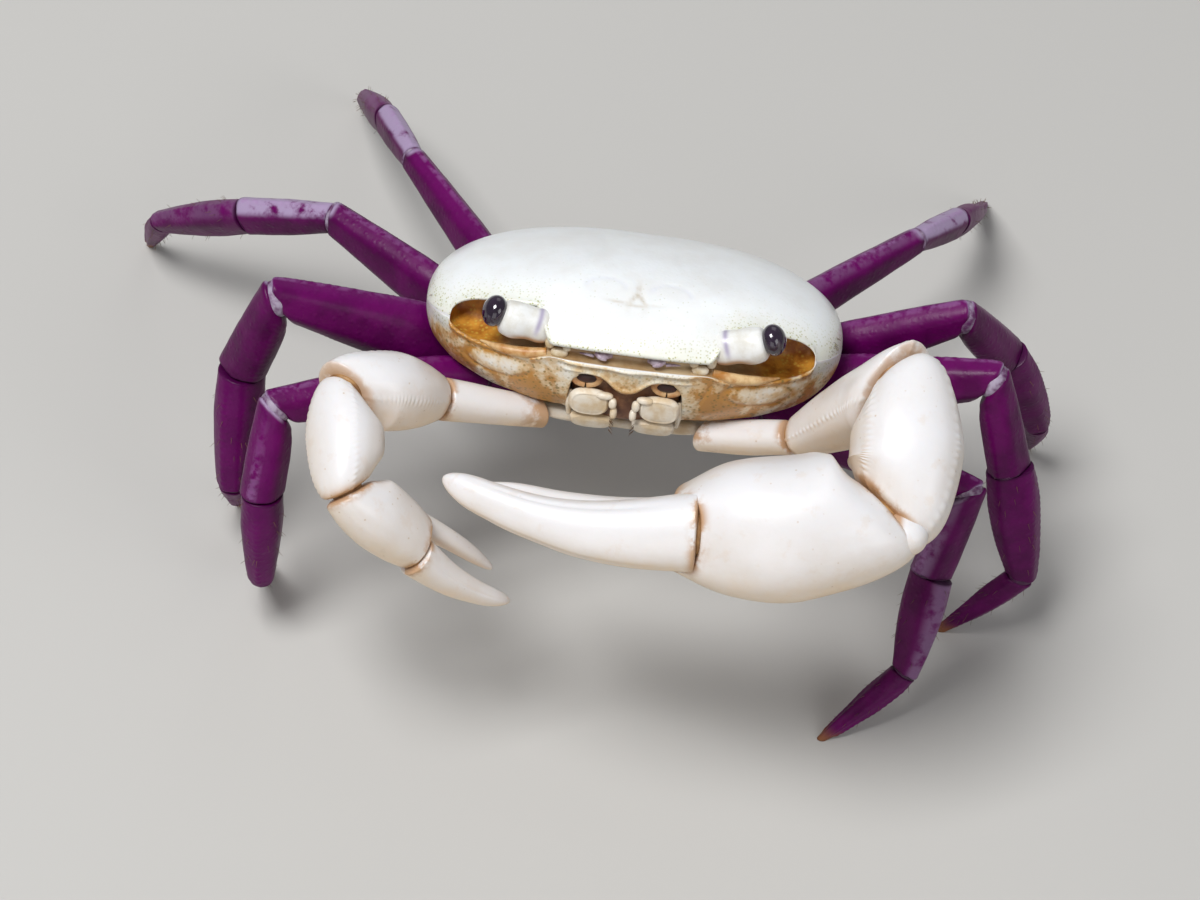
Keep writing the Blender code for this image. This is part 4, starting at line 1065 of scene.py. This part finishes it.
def add_leg_fields(fields, part_name, top_sheen):
    """Where a leg segment is lilac at the knee, painted with sheen and a highlight line on top,
    dark in a seam or horn-coloured at its tip.
    """
    crest, ahead = fields["crest"], fields["along"]
    ends = np.maximum(fields["joint_in"], fields["joint_out"])
    knee = (fields["joint_out"] * (part_name == "merus")
            + fields["joint_in"] * (part_name == "carpus"))
    on_knee = 0.95 * ease(0.45, 0.8, knee) * ease(0.2, 0.9, crest)
    # Lilac at the knee, and painted lilac sheen along the top
    fields["pale"] = np.maximum(top_sheen * ease(0.35, 0.95, crest), on_knee)
    # A painted highlight line along the very top of the crest
    fields["line"] = ease(0.96, 0.995, crest) * (part_name in ("merus", "carpus")) * ahead
    fields["seam"] = 0.75 * ease(0.72, 1.0, ends)
    fields["horn"] = ease(0.78, 0.98, ahead) * (0.75 if part_name == "dactylus" else 0.0)


def build_leg(name, material, membrane, knee_skin, hair):
    """One walking leg: five segments, the soft skin inside its joints and a few bristles."""
    pair = name[:4]
    size = LEG_SIZE[pair]
    joints, facing = leg_joints(name)
    axes = [unit(b - a) for a, b in zip(joints[:-1], joints[1:])]
    cuts = limb_cuts(axes, facing, UP)
    # A joint that bends sharply gets rounder ends, so that its knee is no open wedge
    bends = [0.0] + [1 - float(a @ b) for a, b in zip(axes[:-1], axes[1:])]
    caps = [(0.08 + 0.6 * bend) * size for bend in bends]
    lean = math.radians(LEG_LEAN[pair])
    up = np.array([0.0, math.sin(lean), math.cos(lean)])
    roots, ways, knots, knees = [], [], [], []
    draw = np.random.default_rng(sum(map(ord, name)))
    top_sheens = dict(zip(("merus", "carpus", "propodus"), LEG_TOP_SHEEN.get(name, ())))
    for i, (part_name, stations) in enumerate(LEG_SKINS.items()):
        if i >= 2:
            outward = axes[i] - axes[i + 1] if i < 4 else axes[i - 1] - axes[i]
            up = outward + 0.4 * up
        last = part_name == "dactylus"
        broad = LEG_BROAD.get(name, (1.0, 1.0))[i >= 2]
        tall = 1.0 + 0.4 * (broad - 1.0)
        stations = [(part, high * tall, low * tall, half * broad)
                    for part, high, low, half in stations]
        grid, fields = segment(joints[i], joints[i + 1], up, stations, size, cuts[i], rows=62,
                               gaps=(-0.15 if i == 0 else 0.02, 0.0 if last else 0.02),
                               caps=(caps[i], 0.0 if last else caps[i + 1]),
                               relief=leg_relief(part_name, size))
        rough = 0.015 * ripples(grid, 2.2, 11 + i) * (1 - ease(0.85, 0.95, fields["along"]) * last)
        grid = grid + rough[..., None] * outward_normals(grid)
        add_leg_fields(fields, part_name, top_sheens.get(part_name, 0.0))
        dress(f"{name}_{part_name}", [(grid, fields)], material)
        _, up, _ = segment_axes(joints[i], joints[i + 1], up)
        if i >= 3:
            rows = draw.integers(12, grid.shape[0] - 14, BRISTLES)
            columns = draw.integers(0, grid.shape[1], BRISTLES)
            roots.append(grid[rows, columns])
            ways.append(0.45 * unit_rows(outward_normals(grid)[rows, columns] + 0.9 * axes[i]))
        if i < 4:
            # The soft skin in the joint, fullest at the knee behind the merus
            at_knee = i == 1
            _, high, low, half = stations[-1]
            full = (1.0 if at_knee else 0.9) * size
            radii = ((0.3 + 0.6 * bends[i + 1]) * size, full * 0.5 * (high + low), full * half)
            place = joints[i + 1] + 0.1 * at_knee * size * unit(axes[i] - axes[i + 1])
            knot = joint_knot(place, axes[i:i + 2], up, radii)
            (knees if at_knee else knots).append(knot)
    add_piece(f"{name}_membranes", knots, membrane)
    add_piece(f"{name}_knee", knees, knee_skin)
    add_hairs(f"{name}_bristles", np.vstack(roots), np.vstack(ways), 0.1, 0.018, hair)


def claw_relief(part_name, size):
    """The relief of one claw segment: beaded edges on the arm, low grooves along the fingers."""

    def relief(part, angle):
        turn = np.minimum(angle, 2 * math.pi - angle)
        if part_name == "finger":
            groove = -0.09 * size * hump(turn, 1.0, 0.12)
            return groove * ease(0.05, 0.3, part) * ease(0.95, 0.6, part)
        if part_name == "palm":
            # The large palm's upper shoulder, beside the joint with the carpus
            return 1.1 * hump(part, 0.22, 0.15) * hump(angle, math.pi / 2, 0.85) * (size == 1.0)
        if part_name in ("merus", "carpus"):
            beads = np.abs(np.sin(22 * math.pi * part))
            edges = hump(angle, 0.8, 0.1) + hump(angle, 2 * math.pi - 1.0, 0.1)
            return 0.08 * size * beads * edges
        return 0.0 * (part + angle)

    return relief


def add_claw_fields(fields, normals, part_name):
    """Where a claw segment takes painted bluish sky sheen above and painted orange bounce light
    below, and where it is stained ochre at its joints.
    """
    lift = normals @ UP
    # Painted light by facing: bluish sky sheen on faces that point up, orange bounce light on faces
    # that point down
    fields["warm"] = ease(0.55, -0.5, lift)
    fields["cool"] = 0.6 * ease(0.45, 0.95, lift)
    strong_in = {"carpus": 0.7, "pollex": 0.0}.get(part_name, 1.0)
    strong_out = {"merus": 0.7, "finger": 0.0, "pollex": 0.0}.get(part_name, 1.0)
    joints = np.maximum(fields["joint_in"] * strong_in, fields["joint_out"] * strong_out)
    root = 0.7 * ease(0.5, 0.05, fields["along"]) * (part_name == "base")
    fields["stain"] = np.clip(1.15 * np.maximum(joints**1.5, root), 0, 1)


def build_claws(material, membrane):
    """Both claw arms, with beaded edges on merus and carpus and blunt, grooved fingers."""
    for name, shapes in CLAW_SKINS.items():
        joints, facing = claw_joints(name)
        axes = [unit(b - a) for a, b in zip(joints[:-1], joints[1:])]
        cuts = limb_cuts(axes, facing, None)
        claw_up = floor_way(CLAW_UP[name])
        above, below, gape, shorter, shift = CLAW_FINGERS[name]
        _, palm_up, palm_side = segment_axes(joints[3], joints[4], claw_up)
        _, finger_up, finger_side = segment_axes(joints[4], joints[5], claw_up)
        ends = list(zip(joints[:-1], joints[1:]))
        slope = plane_slopes(axes[3], cuts[3][1], palm_up, palm_side)[0]
        ends[4] = (joints[4] + above * (palm_up + slope * axes[3]), joints[5])
        size, bends = CLAW_RELIEF[name], CLAW_BENDS[name]
        knots = []
        for i, part_name in enumerate(("base", "merus", "carpus", "palm", "finger")):
            caps = tuple(cap * (0.5 + 0.5 * size) for cap in CLAW_CAPS.get(part_name, (0.4, 0.35)))
            up = UP if i < 2 else claw_up
            grid, fields = segment(*ends[i], up, shapes[part_name], 1.0, cuts[i],
                                   gaps=(-0.15 if i == 0 else 0.02, 0.02 if i < 4 else 0.0),
                                   bend=bends.get(part_name, (0.0, 0.0)), rows=120, columns=110,
                                   caps=caps, relief=claw_relief(part_name, size))
            if (name, part_name) == ("claw_l", "palm"):
                # The palm reaches round the finger's base above and below
                reach = ease(0.78, 1.0, fields["along"]) * np.abs(fields["flank"]) ** 3
                grid = grid + 1.9 * reach[..., None] * axes[3]
                grid = grid - (1.05 * np.sign(fields["flank"]) * reach**1.5)[..., None] * palm_side
            normals = outward_normals(grid)
            grid = grid + 0.03 * size * ripples(grid, 4.5, 31 + i)[..., None] * normals
            add_claw_fields(fields, normals, part_name)
            skins = [(grid, fields)]
            if (name, part_name) == ("claw_l", "carpus"):
                # The knuckle beside the hinge of the palm
                middle = joints[3] + np.array(KNUCKLE_PLACE)
                grid = ellipsoid(middle, np.eye(3), KNUCKLE_RADII, 36, 48, 2.2)
                more = dict.fromkeys(fields, np.zeros(grid.shape[:2]))
                more["joint_out"] = hump(grid[..., 0], middle[0] - 1.0, 0.9)
                add_claw_fields(more, outward_normals(grid), part_name)
                skins.append((grid, more))
            if part_name == "palm":
                start = joints[4] - below * palm_up - POLLEX_SUNK * axes[3] - shift * finger_side
                tip = joints[5] - gape * finger_up - shorter * axes[4] - shift * finger_side
                grid, more = segment(start, tip, claw_up, shapes["pollex"], bend=bends["pollex"],
                                     caps=(0.6, 0.6), rows=100, columns=80)
                add_claw_fields(more, outward_normals(grid), "pollex")
                skins.append((grid, more))
            dress(f"{name}_{part_name}", skins, material)
            if i < 4:
                at = joints[i + 1] if i < 3 else ends[4][0]
                table = shapes["finger"][0] if i == 3 else shapes[part_name][-1]
                radius = 0.8 * min(table[1:])
                knots.append(joint_knot(at, axes[i:i + 2], claw_up, (0.4, radius, radius)))
        add_piece(f"{name}_membranes", knots, membrane)


# Mouth and underside

def plate(centre, down, face, half_width, half_height, rim, square):
    """A pillow-like plate: rings of a rounded square grow from the middle of its front face and
    shrink again behind it. The front rises as (1 - r^4)^(1/2), with a raised rim near r = 0.86."""
    front = np.linspace(0.03, 1.0, 26)
    r = np.concatenate([front, front[::-1][1:]])
    ahead = np.concatenate([np.ones(26), -np.ones(25)])
    c, s = squared(turns(72), square)
    lift = PLATE_THICKNESS * np.sqrt(np.maximum(1 - r**4, 0)) * ahead
    lift = lift + np.where(ahead > 0, rim * hump(r, 0.86, 0.07), 0.0)
    return (np.asarray(centre) + (r[:, None] * c * half_width)[..., None] * ACROSS
            + (r[:, None] * s * half_height)[..., None] * down
            + (lift[:, None] + 0 * c)[..., None] * face)


def ring_tube(centre, half_width, half_height, thick, tilt):
    """A closed oval ring of round section, cut open at its lowest point into a rod."""
    turn = np.linspace(-0.49, 0.49, 26) * 2 * math.pi
    points = np.stack([half_width * np.sin(turn), -tilt * half_height * np.cos(turn),
                       half_height * np.cos(turn)], axis=-1)
    return rod(points + np.asarray(centre), [thick, thick], 12)


def blocks(sign, table, rows, columns, power=2.3):
    """Rounded blocks on one side of the face, from their middles and radii."""
    return [(ellipsoid((sign * x, y, z), np.eye(3), radii, rows, columns, power), {})
            for (x, y, z), radii in table]


def build_mouth(plain):
    """Feelers, the small plates beside them, breathing openings as dark blocks of painted shade,
    mouth plates and palps.
    """
    feelers, small, holes, rims = [], [], [], []
    for _, sign in SIDES:
        feelers += [(rod(mirrored(sign, points), radii), {}) for points, radii in FEELER]
        small += blocks(sign, FACE_PLATES, 16, 22)
        holes += blocks(sign, BREATHING_HOLE, 20, 28, 2.4)
        rims.append((ring_tube(mirrored(sign, BREATHING_RIM[:1])[0], *BREATHING_RIM[1:]), {}))
    floor = [(ellipsoid((0.0, -5.45, -2.7), np.eye(3), (3.45, 0.85, 1.85), 40, 60, 3.0), {})]
    for name, skins, look, slot in (
            ("antennules", feelers, "feeler_lilac", "leg_purple"),
            # The breathing openings are dark blocks of painted shade
            ("antennal_plates", small, "face_shell", "carapace_white"),
            ("breathing_openings", holes, "painted_opening_shade", "underside_cream"),
            ("breathing_rims", rims, "opening_rim", "underside_cream"),
            ("mouth_floor", floor, "mouth_brown", "underside_cream")):
        add_piece(name, placed(skins), plain[look])
    for side, sign in SIDES:
        skins = []
        for (x, y, z), (down_y, down_z), *shape in MOUTH_PLATES:
            down = unit(np.array([0.0, down_y, down_z]))
            face = unit(np.array([0.0, down_z, -down_y]))
            skins.append((plate((sign * x, y, z), down, face, *shape), {}))
        skins += blocks(sign, PALP, 18, 24)
        skins.append((rod(mirrored(sign, OUTER_BRANCH[0]), OUTER_BRANCH[1]), {}))
        dress(f"maxilliped_{side}", placed(skins), plain["underside_shell"])
    # A fringe of hairs along the inner edges of the mouth plates
    draw = np.random.default_rng(9)
    count, low, high = 60, -5.2, -2.6
    z = draw.uniform(low, high, count)
    sign = np.where(np.arange(count) % 2, 1.0, -1.0)
    y = np.interp(z, (low, -4.0, high), (-6.25, -6.6, -6.85))
    ways = np.stack([-sign * 0.3, -0.25 + 0 * z, -0.25 * draw.uniform(0.4, 1.2, count)], axis=-1)
    roots = body_to_floor(np.stack([sign * 0.8, y, z], axis=-1))
    add_hairs("mouth_fringe", roots, floor_way(ways), 0.1, 0.018, plain["hair_brown"])


def build_underside(material):
    """The breastplate with its cross grooves, and the jointed tail plate folded in its middle."""
    table = np.array(STERNUM)
    y = np.linspace(table[0, 0] - 0.05, table[-1, 0] + 0.05, 110)[:, None]
    half, top, rise = (np.interp(y, table[:, 0], table[:, k]) for k in (1, 2, 3))
    low = STERNUM_BOTTOM + rise
    c, s = squared(turns(120), 4.5)
    ends = ease(0.0, 0.5, np.minimum(y - y[0], y[-1] - y)) * 0.12 + 0.88
    x = half * c * ends
    z = 0.5 * (top + low) + 0.5 * (top - low) * s * ends
    wide = np.abs(x)
    # Grooves between the segments run outwards and a little back, and a hollow holds the tail plate
    groove = hump((y - 0.12 * wide + 1.4) % 3.1, 1.55, 0.13) * ease(1.4, 2.4, wide)
    z = np.where(s < 0, z + 0.13 * groove, z)
    z = np.where(s < 0, z + 0.1 * hump(x, 0, 1.7) * ease(-2.0, 0.0, y), z)
    grid = np.stack([x, np.broadcast_to(y, x.shape), z], axis=-1)
    dress("sternum", placed([(grid, {})]), material)
    tail = np.array(PLEON)
    y = np.linspace(tail[0, 0], tail[-1, 0], 110)[:, None]
    c, s = squared(turns(80), 4.0)
    x = np.interp(y, tail[:, 0], tail[:, 1]) * c
    z = PLEON_Z + (0.3 - 0.09 * hump((y + 0.2) % 1.35, 0.65, 0.09)) * s
    grid = np.stack([x, np.broadcast_to(y, x.shape), z], axis=-1)
    dress("pleon", placed([(grid, {})]), material)


# Stage

def build_stage():
    """A plain pale floor, soft light from above, and the camera at the photo's angle."""
    scene = bpy.context.scene
    bpy.ops.mesh.primitive_plane_add(size=3.0, location=(0, 0, 0))
    floor = bpy.context.active_object
    floor.name = "floor"
    material = bpy.data.materials.new("floor_pale")
    material.use_nodes = True
    shader = material.node_tree.nodes["Principled BSDF"]
    shader.inputs["Base Color"].default_value = FLOOR_COLOUR
    shader.inputs["Roughness"].default_value = 0.8
    floor.data.materials.append(material)
    world = bpy.data.worlds.new("soft_sky")
    world.use_nodes = True
    world.node_tree.nodes["Background"].inputs["Color"].default_value = SKY_COLOUR
    world.node_tree.nodes["Background"].inputs["Strength"].default_value = SKY_STRENGTH
    scene.world = world
    scene.view_settings.view_transform = "Standard"
    for place, size, power in LIGHTS:
        light = bpy.data.lights.new("softbox", "AREA")
        light.size = size
        light.energy = power
        item = bpy.data.objects.new("softbox", light)
        item.location = place
        aim = Vector(LIGHT_AIM) - Vector(place)
        item.rotation_euler = aim.to_track_quat("-Z", "Y").to_euler()
        scene.collection.objects.link(item)
    rise = VIEW_RISE + BODY_PITCH
    ahead = Vector((0, math.cos(rise), -math.sin(rise)))
    level = Vector((1, 0, 0))
    above = Vector((0, math.sin(rise), math.cos(rise)))
    right = level * math.cos(VIEW_ROLL) + above * math.sin(VIEW_ROLL)
    up = above * math.cos(VIEW_ROLL) - level * math.sin(VIEW_ROLL)
    shift = [share / VIEW_FOCUS * VIEW_DISTANCE for share in VIEW_ORIGIN]
    eye = Vector(BODY_PLACE) - right * shift[0] - up * shift[1] - ahead * VIEW_DISTANCE
    camera = bpy.data.cameras.new("camera")
    camera.sensor_width = SENSOR_WIDTH
    camera.lens = VIEW_FOCUS * SENSOR_WIDTH
    camera.clip_start = 0.01
    item = bpy.data.objects.new("camera", camera)
    turned = Matrix((right, up, -ahead)).transposed().to_4x4()
    item.matrix_world = Matrix.Translation(eye * MM) @ turned
    scene.collection.objects.link(item)
    scene.camera = item


def main():
    """Build every piece."""
    builders = {"soft_clouds": (cloud_mask, {"Scale": 300.0, "Low": 0.35, "High": 0.7}),
                "small_specks": (speck_mask, {"Scale": 2000.0, "Inner": 0.1, "Outer": 0.3}),
                "fine_grain": (grain_height, {"Scale": 2000.0, "Beads": 0.0})}
    Paint.effects = {name: effect(name, *builder) for name, builder in builders.items()}
    plain = {name: plain_material(name, *look) for name, look in PLAIN_LOOKS.items()}
    build_shell(shell_material())
    build_shell_hairs(plain["hair_brown"])
    build_eyes(stalk_material(), cornea_material(), plain["orbit_pad"])
    build_mouth(plain)
    build_underside(plain["underside_shell"])
    leg_shell = leg_material()
    for name in LEG_POSE:
        build_leg(name, leg_shell, plain["leg_joint_skin"], plain["knee_skin"], plain["hair_brown"])
    build_claws(claw_material(), plain["joint_skin"])
    build_stage()


main()
